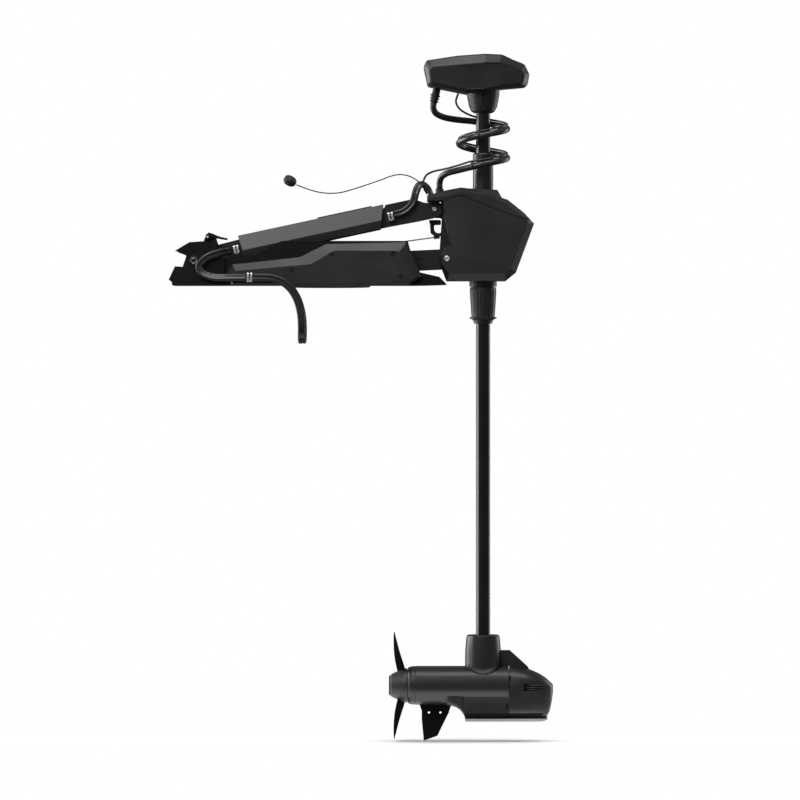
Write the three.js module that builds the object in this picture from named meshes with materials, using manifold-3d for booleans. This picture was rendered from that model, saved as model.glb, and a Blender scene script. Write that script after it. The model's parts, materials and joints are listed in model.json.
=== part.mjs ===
// Bow-mount electric trolling motor: deck base, stow linkage, steering housing, shaft, head and lower unit.
// Millimetres, +X forward over the bow, +Y port, +Z up. Origin: centre of the base's underside on the deck.
import * as THREE from 'three';
import { mergeVertices } from 'three/addons/utils/BufferGeometryUtils.js';
import Module from 'manifold-3d';

const wasm = await Module();
wasm.setup();

// ---- driving dimensions -------------------------------------------------------------------
const GAP = 0.35; // running gap between neighbouring pieces

const STOW_PIVOT = { x: -231.7, z: 53.2 }; // rear pivot of the upper arm on the base
const ARM_PIVOT = { x: 294.6, z: 166.5 }; // front pivot of the upper arm on the steering housing
const LINK_PIVOT = { x: 321.6, z: 57.6 }; // front pivot of the lower arm on the steering housing
const LINK_REAR = { x: -172, z: 35 }; // rear pivot of the lower arm, left open
const LEVER_PIVOT = { x: -201.3, z: 104.7 };
const HOOK_PIVOT = { x: 303, z: 137 };

const SHAFT_X = 401.6;
const SHAFT_R = 15.7;
const SHAFT_TOP = 420;
const SHAFT_BOTTOM = -830;
const TUBE_R = 22.5; // steering tube that the shaft slides in
const TUBE_TOP = 290.8;
const TUBE_BOTTOM = -4;
const COLLAR_BORE = 22;
const COLLAR_TIP = -84;
const FLOOR_BORE = 28; // round the tube in the shells' floor, hidden by the flange
const COVER_BORE = 25.5; // round the tube in the top cover
const MOTOR_Z = -879.6;
const MOTOR_R = 42.8;
const PROP_X = 222; // middle of the blades' roots
const PROP_R = 118.6;

const CHANNEL = { half: 70, wall: 5, floor: 5, rear: -262, front: 262 };
const CHEEK = { inner: 70.5, outer: 78 };
const COVER_Y = 90;
const HOUSING_Y = 68;
const HOUSING_WALL = 3.5;
const ARM_PLATE = { inner: 36, outer: 42 };
const AXLE = { from: 34, shoulder: 79, to: 80.8, radius: 8.5, bore: 3.5, flange: 10.5 };
const CABLE = { width: 17, thick: 8.5 };
const LINK_BOLT_R = 4; // bolts of the two front pivots
const BUTTON = { x: 398, z: 186.5, radius: 6 };
const GLAND_X = { coil: 306, head: 293 };

// ---- materials ----------------------------------------------------------------------------
function paint(color, roughness, metalness) {
  return new THREE.MeshStandardMaterial({ color, roughness, metalness });
}
const PAINT = {
  plastic: paint(0x232425, 0.55, 0),
  arm: paint(0x565757, 0.5, 0.3),
  alloy: paint(0x141415, 0.5, 0.5),
  composite: paint(0x0c0c0d, 0.3, 0),
  steel: paint(0xb9bbbd, 0.3, 1),
  rubber: paint(0x0b0b0b, 0.8, 0),
  copper: paint(0x9a5a32, 0.4, 1),
  board: paint(0x1f5a34, 0.6, 0),
};

// ---- geometry helpers ---------------------------------------------------------------------
function solid(geometry) {
  const bare = geometry.clone();
  bare.deleteAttribute('normal');
  bare.deleteAttribute('uv');
  const merged = mergeVertices(bare, 1e-4);
  const mesh = new wasm.Mesh({
    numProp: 3,
    vertProperties: new Float32Array(merged.attributes.position.array),
    triVerts: new Uint32Array(merged.index.array),
  });
  return new wasm.Manifold(mesh);
}

function geometryOf(body) {
  const mesh = body.getMesh();
  const geometry = new THREE.BufferGeometry();
  geometry.setAttribute('position', new THREE.BufferAttribute(mesh.vertProperties, 3));
  geometry.setIndex(new THREE.BufferAttribute(mesh.triVerts, 1));
  return geometry;
}

function join(...bodies) {
  return bodies.reduce((whole, body) => whole.add(body));
}

function cut(body, ...tools) {
  return tools.reduce((left, tool) => left.subtract(tool), body);
}

// A plate with its outline in X and Z, between two places along Y.
function plate(points, y0, y1, chamfer = 0) {
  const shape = new THREE.Shape(points.map(([x, z]) => new THREE.Vector2(x, z)));
  const geometry = new THREE.ExtrudeGeometry(shape, {
    depth: y1 - y0 - 2 * chamfer,
    bevelEnabled: chamfer > 0,
    bevelThickness: chamfer,
    bevelSize: chamfer,
    bevelOffset: -chamfer,
    bevelSegments: 1,
  });
  geometry.rotateX(Math.PI / 2);
  geometry.translate(0, y1 - chamfer, 0);
  return solid(geometry);
}

function box(x0, x1, y0, y1, z0, z1) {
  const geometry = new THREE.BoxGeometry(x1 - x0, y1 - y0, z1 - z0);
  geometry.translate((x0 + x1) / 2, (y0 + y1) / 2, (z0 + z1) / 2);
  return solid(geometry);
}

// A turned solid; each profile point is [radius, place along the axis].
function turned(profile, axis, at, sides = 24) {
  const points = profile.map(([r, t]) => new THREE.Vector2(r, t));
  const geometry = new THREE.LatheGeometry(points, sides);
  if (axis === 'x') geometry.rotateZ(-Math.PI / 2);
  if (axis === 'z') geometry.rotateX(Math.PI / 2);
  geometry.translate(...at);
  return solid(geometry);
}

function rod(radius, from, to, axis, at, sides = 20) {
  return turned([[0, from], [radius, from], [radius, to], [0, to]], axis, at, sides);
}

function ring(outer, inner, from, to, axis, at, sides = 24) {
  const profile = [[inner, from], [outer, from], [outer, to], [inner, to], [inner, from]];
  return turned(profile, axis, at, sides);
}

// A closed outline whose corners are rounded by arcs of the given radius.
function rounded(points, radius, steps = 4) {
  const out = [];
  points.forEach((p, i) => {
    const before = points[(i + points.length - 1) % points.length];
    const after = points[(i + 1) % points.length];
    const a = new THREE.Vector2(before[0] - p[0], before[1] - p[1]);
    const b = new THREE.Vector2(after[0] - p[0], after[1] - p[1]);
    const reach = Math.min(radius, a.length() / 2.1, b.length() / 2.1);
    a.setLength(reach);
    b.setLength(reach);
    for (let k = 0; k <= steps; k += 1) {
      const t = k / steps;
      const u = (1 - t) * (1 - t);
      const v = t * t;
      out.push([p[0] + u * a.x + v * b.x, p[1] + u * a.y + v * b.y]);
    }
  });
  return out;
}

function mirrorY(body) {
  return body.mirror([0, 1, 0]);
}

// A tube along a smooth curve through the given points, with a round or flat-oval section.
function hose(points, width, thick, steps, sides = 8) {
  const curve = new THREE.CatmullRomCurve3(
    points.map((p) => new THREE.Vector3(...p)), false, 'centripetal');
  const section = new THREE.Shape();
  for (let i = 0; i < sides; i += 1) {
    const a = (2 * Math.PI * (i + 0.5)) / sides;
    const x = (thick / 2) * Math.cos(a);
    const y = (width / 2) * Math.sin(a);
    if (i === 0) section.moveTo(x, y);
    else section.lineTo(x, y);
  }
  section.closePath();
  return solid(new THREE.ExtrudeGeometry(section, { steps, extrudePath: curve, bevelEnabled: false }));
}

// ---- the part and its nodes ---------------------------------------------------------------
const part = new THREE.Group();

function node(name, body, material) {
  const mesh = new THREE.Mesh(geometryOf(body), material);
  mesh.name = name;
  part.add(mesh);
}

// A point on the upper arm: s along the line between its pivots, n square to it and upwards.
const ARM_SPAN = Math.hypot(ARM_PIVOT.x - STOW_PIVOT.x, ARM_PIVOT.z - STOW_PIVOT.z);
const ARM_COS = (ARM_PIVOT.x - STOW_PIVOT.x) / ARM_SPAN;
const ARM_SIN = (ARM_PIVOT.z - STOW_PIVOT.z) / ARM_SPAN;
function onArm(s, n) {
  return [STOW_PIVOT.x + s * ARM_COS - n * ARM_SIN, STOW_PIVOT.z + s * ARM_SIN + n * ARM_COS];
}

function alongArm(body) {
  const tilt = (-Math.atan2(ARM_SIN, ARM_COS) * 180) / Math.PI;
  return body.rotate([0, tilt, 0]).translate([STOW_PIVOT.x, 0, STOW_PIVOT.z]);
}

// ---- base ---------------------------------------------------------------------------------
const BASE_BOLTS = [-210, -60, 90, 220];
const BASE_BOLT_R = 4.5;

function baseChannel() {
  const { half, wall, floor, rear, front } = CHANNEL;
  const side = [
    [rear, 0], [front, 0], [236, 96.5], [-40, 96.5], [-112, 58], [-180, 58], [-190, 40], [rear, 24],
  ];
  const trough = box(rear - 1, front + 1, -half + wall, half - wall, floor, 120);
  const shell = cut(plate(side, -half, half), trough);
  const boltHole = (x, y) => rod(BASE_BOLT_R, -1, floor + 1, 'z', [x, y, 0], 12);
  const holes = BASE_BOLTS.flatMap((x) => [boltHole(x, -38), boltHole(x, 38)]);
  const stub = rod(6, 30, half - 1, 'y', [LINK_REAR.x, 0, LINK_REAR.z], 16);
  return join(cut(shell, ...holes), stub, mirrorY(stub));
}

const CHEEK_OUTLINE = [
  [-286.7, 11.7], [-273.2, 0], [-165, 0], [-165, 56], [-176, 62], [-183, 92], [-186.8, 102.5],
  [-186.8, 110.9], [-199.1, 114.8], [-204.8, 110.4], [-210.3, 95.7], [-241.8, 93.5], [-273.2, 74.6],
  [-257.4, 68.9], [-248.4, 63.4], [-250.4, 56.5], [-256.3, 39.8], [-273.2, 40.7],
];

function sternBracket() {
  const { inner, outer } = CHEEK;
  const floor = box(-280, CHANNEL.rear - GAP, -inner - 1, inner + 1, 0, 6);
  const whole = join(plate(CHEEK_OUTLINE, inner, outer), plate(CHEEK_OUTLINE, -outer, -inner), floor);
  const bore = rod(8.5 + GAP, -90, 90, 'y', [STOW_PIVOT.x, 0, STOW_PIVOT.z]);
  const pin = rod(3.2, -90, 90, 'y', [LEVER_PIVOT.x, 0, LEVER_PIVOT.z], 20);
  return cut(whole, bore, pin);
}

const COVER_OUTLINE = [
  [-159.7, 25.1], [-147.4, 45.3], [-118.4, 47.5], [0.7, 60.9], [57.2, 89.3], [229.7, 93.5], [233.9, 89.3],
  [267.5, 17.8], [238, 0.4], [-150, 0.4],
];

function sideCover() {
  const inner = CHANNEL.half + GAP;
  const outer = plate(COVER_OUTLINE, inner - 8, COVER_Y, 6);
  const pocket = [[-150, 4], [-140, 36], [0, 50], [60, 78], [222, 82], [252, 22], [232, 4]];
  const hollow = plate(pocket, inner - 10, COVER_Y - 4);
  const flush = box(-300, 300, -10, inner, -5, 120);
  const cheekRoom = box(-170, -164.5, inner, 79, -5, 120);
  return cut(outer, hollow, flush, cheekRoom);
}

function bowRamp() {
  const outline = [[263, 0], [321, 1.8], [305.4, 17.8], [263, 27.5]];
  const ramp = plate(outline, -CHANNEL.half, CHANNEL.half);
  const groove = box(262, 330, -22, 22, 10, 40);
  return cut(ramp, groove);
}

function buildBase() {
  node('base_channel', baseChannel(), PAINT.alloy);
  node('stern_bracket', sternBracket(), PAINT.alloy);
  node('side_cover_port', sideCover(), PAINT.plastic);
  node('side_cover_starboard', mirrorY(sideCover()), PAINT.plastic);
  node('bow_ramp', bowRamp(), PAINT.alloy);
  const { from, shoulder, to, radius, bore, flange } = AXLE;
  const stub = [
    [bore, from], [radius, from], [radius, shoulder], [flange, shoulder], [flange, to], [bore, to],
  ];
  const axle = turned([...stub, stub[0]], 'y', [STOW_PIVOT.x, 0, STOW_PIVOT.z]);
  node('stow_axle_port', axle, PAINT.steel);
  node('stow_axle_starboard', mirrorY(axle), PAINT.steel);
  const lever = [
    [-207.5, 99], [-195, 98.6], [-194, 104], [-172, 99.4], [-158, 97.4], [-157, 101.8],
    [-172, 104.4], [-192, 112.4], [-203, 112.4],
  ];
  const blade = plate(rounded(lever, 2.5, 2), -84, -CHEEK.outer - GAP);
  const pin = turned([[0, -88], [5.2, -88], [5.2, -84.4], [2.9, -84.4], [2.9, -70.8], [0, -70.8]],
    'y', [LEVER_PIVOT.x, 0, LEVER_PIVOT.z], 20);
  node('lock_lever', join(blade, pin), PAINT.alloy);
}

// ---- arms ---------------------------------------------------------------------------------
const COVER_S = { rear: 108.3, front: 419.5, rearSlant: -0.11, frontSlant: 0.33 };

function upperArm() {
  const { inner, outer } = ARM_PLATE;
  const side = [[-13, -11], [30, -15], [430, -15], [500, -17], [538, -17], [538, 17], [522, 17], [498, 32],
    [434, 32], [432, 26], [116, 26], [60, 24], [20, 15], [-13, 11]];
  const cheeks = join(plate(rounded(side, 6, 2), inner, outer), plate(rounded(side, 6, 2), -outer, -inner));
  const ends = [];
  for (const y of [inner, -outer]) {
    ends.push(rod(17, y, y + outer - inner, 'y', [ARM_SPAN, 0, 0], 32));
    ends.push(rod(17, y, y + outer - inner, 'y', [0, 0, 0], 32));
  }
  const web = box(118, 424, -inner - 1, inner + 1, 21, 26);
  const whole = join(cheeks, web, ...ends);
  const rearBore = rod(8.5 + GAP, -60, 60, 'y', [0, 0, 0]);
  const frontBore = rod(LINK_BOLT_R + GAP, -60, 60, 'y', [ARM_SPAN, 0, 0], 24);
  return alongArm(cut(whole, rearBore, frontBore));
}

// Outer skin of the upper arm: a six-sided section, open below, with slanted ends.
function armCover() {
  const outer = [[-55, -17], [-61, 0], [-47, 34], [47, 34], [61, 0], [55, -17]];
  const inner = [[52, -17], [57.5, 0], [45, 30.5], [-45, 30.5], [-57.5, 0], [-52, -17]];
  const shape = new THREE.Shape([...outer, ...inner].map(([y, n]) => new THREE.Vector2(y, n)));
  const length = COVER_S.front - COVER_S.rear;
  const geometry = new THREE.ExtrudeGeometry(shape, { depth: length, bevelEnabled: false });
  geometry.rotateX(Math.PI / 2);
  geometry.rotateZ(Math.PI / 2);
  const place = geometry.attributes.position;
  for (let i = 0; i < place.count; i += 1) {
    const front = place.getX(i) > length / 2;
    const slant = front ? COVER_S.frontSlant : COVER_S.rearSlant;
    place.setX(i, COVER_S.rear + place.getX(i) + slant * place.getZ(i));
  }
  return alongArm(solid(geometry));
}

function lowerArm() {
  const dx = LINK_PIVOT.x - LINK_REAR.x;
  const dz = LINK_PIVOT.z - LINK_REAR.z;
  const span = Math.hypot(dx, dz);
  const beam = box(0, span, -28, 28, -22, 22);
  const eyes = [0, span].map((s) => rod(22, -28, 28, 'y', [s, 0, 0], 32));
  const hollow = box(30, span - 30, -23, 23, -30, 17);
  const bores = [rod(7, -40, 40, 'y', [0, 0, 0], 24), rod(LINK_BOLT_R + GAP, -40, 40, 'y', [span, 0, 0], 24)];
  const light = [span - 60, span - 90].map((s) => rod(4, -40, 40, 'y', [s, 0, 0], 12));
  const tilt = (-Math.atan2(dz, dx) * 180) / Math.PI;
  return cut(join(beam, ...eyes), hollow, ...bores, ...light).rotate([0, tilt, 0])
    .translate([LINK_REAR.x, 0, LINK_REAR.z]);
}

function bolt(radius, head, halfShank, halfGrip, at) {
  const profile = [[0, -halfShank], [head, -halfShank], [head, -halfGrip], [radius, -halfGrip],
    [radius, halfGrip], [head, halfGrip], [head, halfShank], [0, halfShank]];
  return turned(profile, 'y', at, 24);
}

// A P-clip: a band round the flat cable with a foot on the surface behind it.
function cableClamp(at, tilt, foot) {
  const w = CABLE.width / 2 + 2.2;
  const t = CABLE.thick / 2 + 2.2;
  const band = rounded([[-t, -w], [t, -w], [t, w], [-t, w]], 5, 2);
  const [u, v] = [t - 1.6, w - 1.6];
  const room = rounded([[-u, -v], [u, -v], [u, v], [-u, v]], 4, 2);
  const outer = new THREE.Shape(band.map((p) => new THREE.Vector2(...p)));
  outer.holes.push(new THREE.Path(room.map((p) => new THREE.Vector2(...p))));
  const geometry = new THREE.ExtrudeGeometry(outer, { depth: 13, bevelEnabled: false });
  geometry.rotateX(Math.PI / 2);
  geometry.rotateZ(Math.PI / 2);
  geometry.translate(-6.5, 0, 0);
  const tab = box(-6.5, 6.5, t - 1, foot, -w, -w + 3);
  return join(solid(geometry), tab).rotate([0, -tilt, 0]).translate(at);
}

function buildArms() {
  node('upper_arm', upperArm(), PAINT.alloy);
  node('arm_cover', armCover(), PAINT.arm);
  node('arm_bumper', alongArm(box(283, 405, -20, 20, 34 + GAP, 37)), PAINT.rubber);
  node('lower_arm', lowerArm(), PAINT.alloy);
  const pin = bolt(LINK_BOLT_R, 5.2, 46, ARM_PLATE.outer + GAP, [ARM_PIVOT.x, 0, ARM_PIVOT.z]);
  node('upper_link_bolt', pin, PAINT.steel);
}

// ---- steering housing -----------------------------------------------------------------------
const HOUSING_OUTLINE = [
  [278.5, 184.6], [278.5, 196.9], [319, 207.7], [352.4, 214.1], [366.7, 212.3], [432.3, 208.8],
  [442, 191.6], [455, 187.2], [490.8, 158.6], [512.8, 134.9], [473, 27.5], [451.4, 9.7],
  [321.4, 9.7], [314.4, 27.5],
  [307.1, 46.6], [307.1, 65.6], [316.8, 82.5], [328.7, 87.1], [314.4, 146.7], [312.5, 176], [309, 184.6],
];
// Seam between the top cover and the side shells, from the arm side to the front.
const SEAM = [
  [250, 183], [306, 183.8], [312.4, 186.5], [352.4, 196.5], [364.3, 193], [400, 177.4],
  [476.4, 148.7], [540, 134],
];
const HOUSING_INSET = [
  [320, 192], [353, 208], [430, 203], [437, 187], [452, 182], [486, 154], [504, 133], [468, 30], [449, 14],
  [325, 14], [318, 50], [332, 85], [318, 146],
];

// Hollow block with chamfered edges that the two shells and the top cover are cut from.
function housingBlock() {
  const outer = plate(HOUSING_OUTLINE, -HOUSING_Y, HOUSING_Y, 5);
  const hollow = plate(HOUSING_INSET, -HOUSING_Y + HOUSING_WALL, HOUSING_Y - HOUSING_WALL);
  const floorRoom = rod(FLOOR_BORE, 0, 100, 'z', [SHAFT_X, 0, 0]);
  const coverRoom = rod(COVER_BORE, 100, 260, 'z', [SHAFT_X, 0, 0]);
  const linkRoom = box(280, 348, -43, 43, -5, 181);
  const boltRoom = rod(LINK_BOLT_R + GAP, -80, 80, 'y', [LINK_PIVOT.x, 0, LINK_PIVOT.z], 24);
  return cut(outer, hollow, floorRoom, coverRoom, linkRoom, boltRoom);
}

function housingShell() {
  const below = plate([...SEAM.map(([x, z]) => [x, z - GAP]), [540, 0], [250, 0]], 0.15, 80);
  return housingBlock().intersect(below);
}

function housingTop() {
  const above = plate([...SEAM, [540, 260], [250, 260]], -80, 80);
  const gland = rod(9.4, 190, 230, 'z', [GLAND_X.coil, 0, 0], 24);
  const harness = rod(10.4, 170, 220, 'z', [287, -30, 0], 24);
  const button = rod(BUTTON.radius + 0.3, 60, 80, 'y', [BUTTON.x, 0, BUTTON.z], 24);
  return cut(housingBlock().intersect(above), gland, harness, mirrorY(button));
}

function linkBracket() {
  const outline = [
    [294.6, 149], [311, 149], [305, 60], [318, 36], [330, 36], [362, 30], [362, 168], [330, 172],
    [300, 183], [294.6, 183],
  ];
  const side = rounded(outline, 4, 2);
  const plates = join(plate(side, 29, 35), plate(side, -35, -29));
  const eyes = [29, -35].map((y) => rod(16, y, y + 6, 'y', [ARM_PIVOT.x, 0, ARM_PIVOT.z], 32));
  const back = box(352, 362, -30, 30, 40, 165);
  const bores = [ARM_PIVOT, LINK_PIVOT].map(
    (p) => rod(LINK_BOLT_R + GAP, -60, 60, 'y', [p.x, 0, p.z], 24));
  const hookPin = rod(3, -60, 60, 'y', [HOOK_PIVOT.x, 0, HOOK_PIVOT.z], 16);
  return cut(join(plates, back, ...eyes), ...bores, hookPin);
}

function latchHook() {
  const { x, z } = HOOK_PIVOT;
  const outline = [
    [x - 21, z + 7], [x + 6, z + 7], [x + 6, z - 4], [x - 9, z - 4], [x - 9, z - 16], [x - 3, z - 22],
    [x + 10, z - 21], [x + 11, z - 28], [x - 6, z - 30], [x - 17, z - 22], [x - 18, z - 3],
  ];
  const blade = plate(rounded(outline, 3, 2), -6, 6);
  const shank = rod(3 - GAP, -35, 35, 'y', [x, 0, z], 16);
  return join(blade, shank);
}

function buildHousing() {
  node('housing_shell_port', housingShell(), PAINT.plastic);
  node('housing_shell_starboard', mirrorY(housingShell()), PAINT.plastic);
  node('housing_top_cover', housingTop(), PAINT.plastic);
  node('link_bracket', linkBracket(), PAINT.alloy);
  const pin = bolt(LINK_BOLT_R, 6.2, 71.5, HOUSING_Y + GAP, [LINK_PIVOT.x, 0, LINK_PIVOT.z]);
  node('lower_link_bolt', pin, PAINT.steel);
  node('latch_hook', latchHook(), PAINT.alloy);
  const seat = [[TUBE_R + 1, -2.4], [30.2, -2.4], [30.2, 9.3], [36, 9.3 + GAP], [TUBE_R + 1, 9.3 + GAP]];
  node('bottom_flange', turned([...seat, seat[0]], 'z', [SHAFT_X, 0, 0]), PAINT.plastic);
  node('steering_stator', ring(38, 32, 50, 92, 'z', [SHAFT_X, 0, 0]), PAINT.copper);
  node('bearing_lower', ring(32, TUBE_R + GAP, 20, 34, 'z', [SHAFT_X, 0, 0]), PAINT.steel);
  node('bearing_upper', ring(32, TUBE_R + GAP, 122, 136, 'z', [SHAFT_X, 0, 0]), PAINT.steel);
  node('control_board', box(452, 455, -50, 50, 42, 120), PAINT.board);
  const button = rod(BUTTON.radius, 66, HOUSING_Y + 1, 'y', [BUTTON.x, 0, BUTTON.z], 24);
  node('power_button', mirrorY(button), PAINT.rubber);
  node('coil_gland', ring(9, 6.9, 198, 213, 'z', [GLAND_X.coil, 0, 0], 24), PAINT.rubber);
}

// ---- steering tube, collar and shaft ----------------------------------------------------------
function depthCollar() {
  const profile = [
    [COLLAR_BORE, -76.8], [22.6, -76.8], [23.6, -74], [29.9, -72], [29.9, -69.5], [25, -69], [26.4, -62],
    [29.4, -14], [29.4, -8], [28, -3.2], [23.3, -3.2], [COLLAR_BORE, -30], [COLLAR_BORE, -76.8],
  ];
  const body = turned(profile, 'z', [SHAFT_X, 0, 0], 32);
  const flutes = [];
  for (let i = 0; i < 12; i += 1) {
    const a = (2 * Math.PI * i) / 12;
    flutes.push(rod(2, -66, -14, 'z', [SHAFT_X + 30 * Math.cos(a), 30 * Math.sin(a), 0], 6));
  }
  return cut(body, ...flutes);
}

function buildSteering() {
  const bore = SHAFT_R + GAP;
  const tube = [[bore, TUBE_BOTTOM], [TUBE_R, TUBE_BOTTOM], [TUBE_R, TUBE_TOP - 3], [TUBE_R - 2, TUBE_TOP],
    [bore, TUBE_TOP]];
  node('steering_tube', turned([...tube, tube[0]], 'z', [SHAFT_X, 0, 0], 32), PAINT.plastic);
  node('steering_rotor', ring(31, TUBE_R + GAP, 52, 90, 'z', [SHAFT_X, 0, 0]), PAINT.steel);
  const colletTop = TUBE_BOTTOM - GAP;
  const collet = [[bore, COLLAR_TIP], [19.8, COLLAR_TIP], [COLLAR_BORE - GAP, -78.4],
    [COLLAR_BORE - GAP, colletTop], [bore, colletTop]];
  node('shaft_collet', turned([...collet, collet[0]], 'z', [SHAFT_X, 0, 0], 32), PAINT.plastic);
  node('depth_collar', depthCollar(), PAINT.plastic);
  node('shaft', ring(SHAFT_R, 11, SHAFT_BOTTOM, SHAFT_TOP, 'z', [SHAFT_X, 0, 0], 48), PAINT.composite);
}

// ---- head -----------------------------------------------------------------------------------
const HEAD_SIDE = [
  [270.6, 479.4], [277.2, 493], [344.5, 503.1], [405.2, 507.5], [443.3, 506.4], [468.2, 495.2],
  [492.8, 486.2], [504, 463.8], [499.6, 441.3], [492.8, 434.9], [440, 431.2], [400, 424],
  [364.8, 421.1], [315.5, 431.2],
  [286.2, 437], [279.5, 439.1],
];
const HEAD_SEAM = 446;
const HEAD_Y = 62;

// Upright block with the head's shape seen from above, narrower towards the nose.
function headPlan(inset, halfWidth) {
  const side = [
    [268 + inset, halfWidth - 7], [280, halfWidth], [415, halfWidth], [506 - inset, halfWidth - 38],
  ];
  const mirrored = side.map(([x, y]) => [x, -y]).reverse();
  return plate([...side, ...mirrored], 380, 540).rotate([90, 0, 0]);
}

function buildHead() {
  const outer = plate(HEAD_SIDE, -HEAD_Y, HEAD_Y, 10).intersect(headPlan(0, HEAD_Y));
  const inset = [
    [282, 470], [285, 487], [405, 501], [441, 500], [488, 481], [497, 462], [492, 442],
    [400, 440], [290, 443],
  ];
  const hollow = plate(inset, 10 - HEAD_Y, HEAD_Y - 10).intersect(headPlan(6, HEAD_Y - 7));
  const above = box(200, 600, -100, 100, HEAD_SEAM, 700);
  const below = box(200, 600, -100, 100, 300, HEAD_SEAM - GAP);
  const socket = rod(SHAFT_R + 0.5, 380, SHAFT_TOP + GAP, 'z', [SHAFT_X, 0, 0]);
  const shell = cut(outer, hollow, rod(12, 410, 450, 'z', [SHAFT_X, 0, 0]));
  const gland = rod(8.4, 420, 450, 'z', [GLAND_X.head, 0, 0], 24);
  node('head_top_shell', shell.intersect(above), PAINT.plastic);
  node('head_bottom_shell', cut(shell.intersect(below), socket, gland), PAINT.plastic);
  node('head_board', box(330, 440, -36, 36, 452, 455), PAINT.board);
  const neck = [
    [SHAFT_R + GAP, 379], [20, 379], [26, 383], [31, 393], [36, 420], [36.6, 436], [SHAFT_R + GAP, 436],
  ];
  const neckBody = turned([...neck, neck[0]], 'z', [SHAFT_X, 0, 0]);
  node('head_neck', cut(neckBody, outer.translate([0, 0, -GAP])), PAINT.plastic);
  const ribs = [
    [0, 402], [7.4, 402], [9.4, 404], [9.4, 408], [7.6, 409], [10.4, 412], [10.4, 417], [8, 418.5],
    [8, 446], [0, 446],
  ];
  const strain = turned(ribs, 'z', [GLAND_X.head, 0, 0], 24);
  node('head_gland', strain, PAINT.rubber);
}

// ---- lower unit -----------------------------------------------------------------------------
function motorHousing() {
  const profile = [
    [10, 236], [38, 236], [41, 240], [42.1, 244], [42.1, 250], [MOTOR_R, 251], [MOTOR_R, 458], [38, 458],
    [38, 252], [10, 252], [10, 236],
  ];
  return turned(profile, 'x', [0, 0, MOTOR_Z], 32);
}

function motorCollar() {
  const profile = [[SHAFT_R + GAP, -782], [SHAFT_R + GAP, -768], [34, -768], [36.5, -771], [39.6, -800],
    [39.8, -840], [34, -860], [0, -866], [0, SHAFT_BOTTOM - GAP], [SHAFT_R + GAP, SHAFT_BOTTOM - GAP],
    [SHAFT_R + GAP, -782]];
  const body = turned(profile.reverse(), 'z', [SHAFT_X, 0, 0], 32);
  const fin = [
    [430, -802], [460.2, -801.9], [499, -837], [500, -842.2], [472.8, -837.9], [458.6, -835.5],
    [458.6, -846], [430, -846],
  ];
  const wing = plate(fin, -7, 7);
  return cut(join(body, cut(wing, rod(30, -870, -760, 'z', [SHAFT_X, 0, 0]))),
    rod(MOTOR_R + GAP, 200, 530, 'x', [0, 0, MOTOR_Z], 48));
}

// Streamlined nose with the transducer hood under it.
function noseHood() {
  const outline = [
    [459, -836], [472.8, -838.4], [500, -842.7], [528.9, -855.1], [541, -864], [555.5, -877.6],
    [555.5, -893], [548.7, -932.4], [544.3, -950.6], [531.7, -957.7], [361.9, -957.7], [359.3, -932.4],
    [372, -921], [459, -921],
  ];
  const block = plate(outline, -42.5, 42.5, 5);
  const saddle = rod(MOTOR_R + GAP, 200, 458.5, 'x', [0, 0, MOTOR_Z], 32);
  const plug = rod(37.5, 440, 462, 'x', [0, 0, MOTOR_Z]);
  const bay = box(350, 540, -34, 34, -951, -931);
  const grooves = [-60, 38].map((y) => box(350, 536, y, y + 22, -948, -939));
  return cut(join(cut(block, saddle), cut(plug, box(430, 459, -60, 60, -1000, -700))), bay, ...grooves);
}

function skeg() {
  const outline = [[266.6, -930], [326.9, -930], [326.9, -938], [301, -990.7], [271, -1001], [266.6, -952.6]];
  const blade = plate(outline, -4, 4);
  const foot = plate([[259.6, -915], [334, -915], [326.9, -936], [266.6, -935]], -10, 10);
  const tube = rod(MOTOR_R + GAP, 200, 500, 'x', [0, 0, MOTOR_Z], 32);
  const holes = [282.5, 307.8].map((x) => rod(2.6, -20, 20, 'y', [x, 0, -939.4], 12));
  return cut(join(blade, foot), tube, ...holes);
}

function propeller() {
  const hub = turned([[5.4, 200], [18, 198.4], [24, 199], [38, 232], [37, 235.2], [5.4, 235.2], [5.4, 200]],
    'x', [0, 0, MOTOR_Z]);
  const blades = [0, 180].map((turn) => {
    const outline = [[-20, 24], [-30, 60], [-22, 100], [-4, PROP_R], [8, 112], [24, 70], [20, 24]];
    const shape = new THREE.Shape(rounded(outline, 12, 3).map((p) => new THREE.Vector2(...p)));
    const geometry = new THREE.ExtrudeGeometry(shape, { depth: 4, bevelEnabled: false });
    geometry.translate(0, 0, -2);
    const place = geometry.attributes.position;
    const pitch = (z) => 0.9 - (0.75 * Math.max(0, z - 24)) / (PROP_R - 24);
    for (let i = 0; i < place.count; i += 1) {
      const across = place.getX(i);
      const out = place.getY(i);
      const face = place.getZ(i);
      const a = pitch(out);
      const lean = -10 * (out / PROP_R) ** 2;
      const along = across * Math.sin(a) + face * Math.cos(a) + lean;
      place.setXYZ(i, along, across * Math.cos(a) - face * Math.sin(a), out);
    }
    return solid(geometry).rotate([turn, 0, 0]).translate([PROP_X, 0, MOTOR_Z]);
  });
  return cut(join(hub, ...blades), rod(MOTOR_R + 2, 235.4, 300, 'x', [0, 0, MOTOR_Z]));
}

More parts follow.
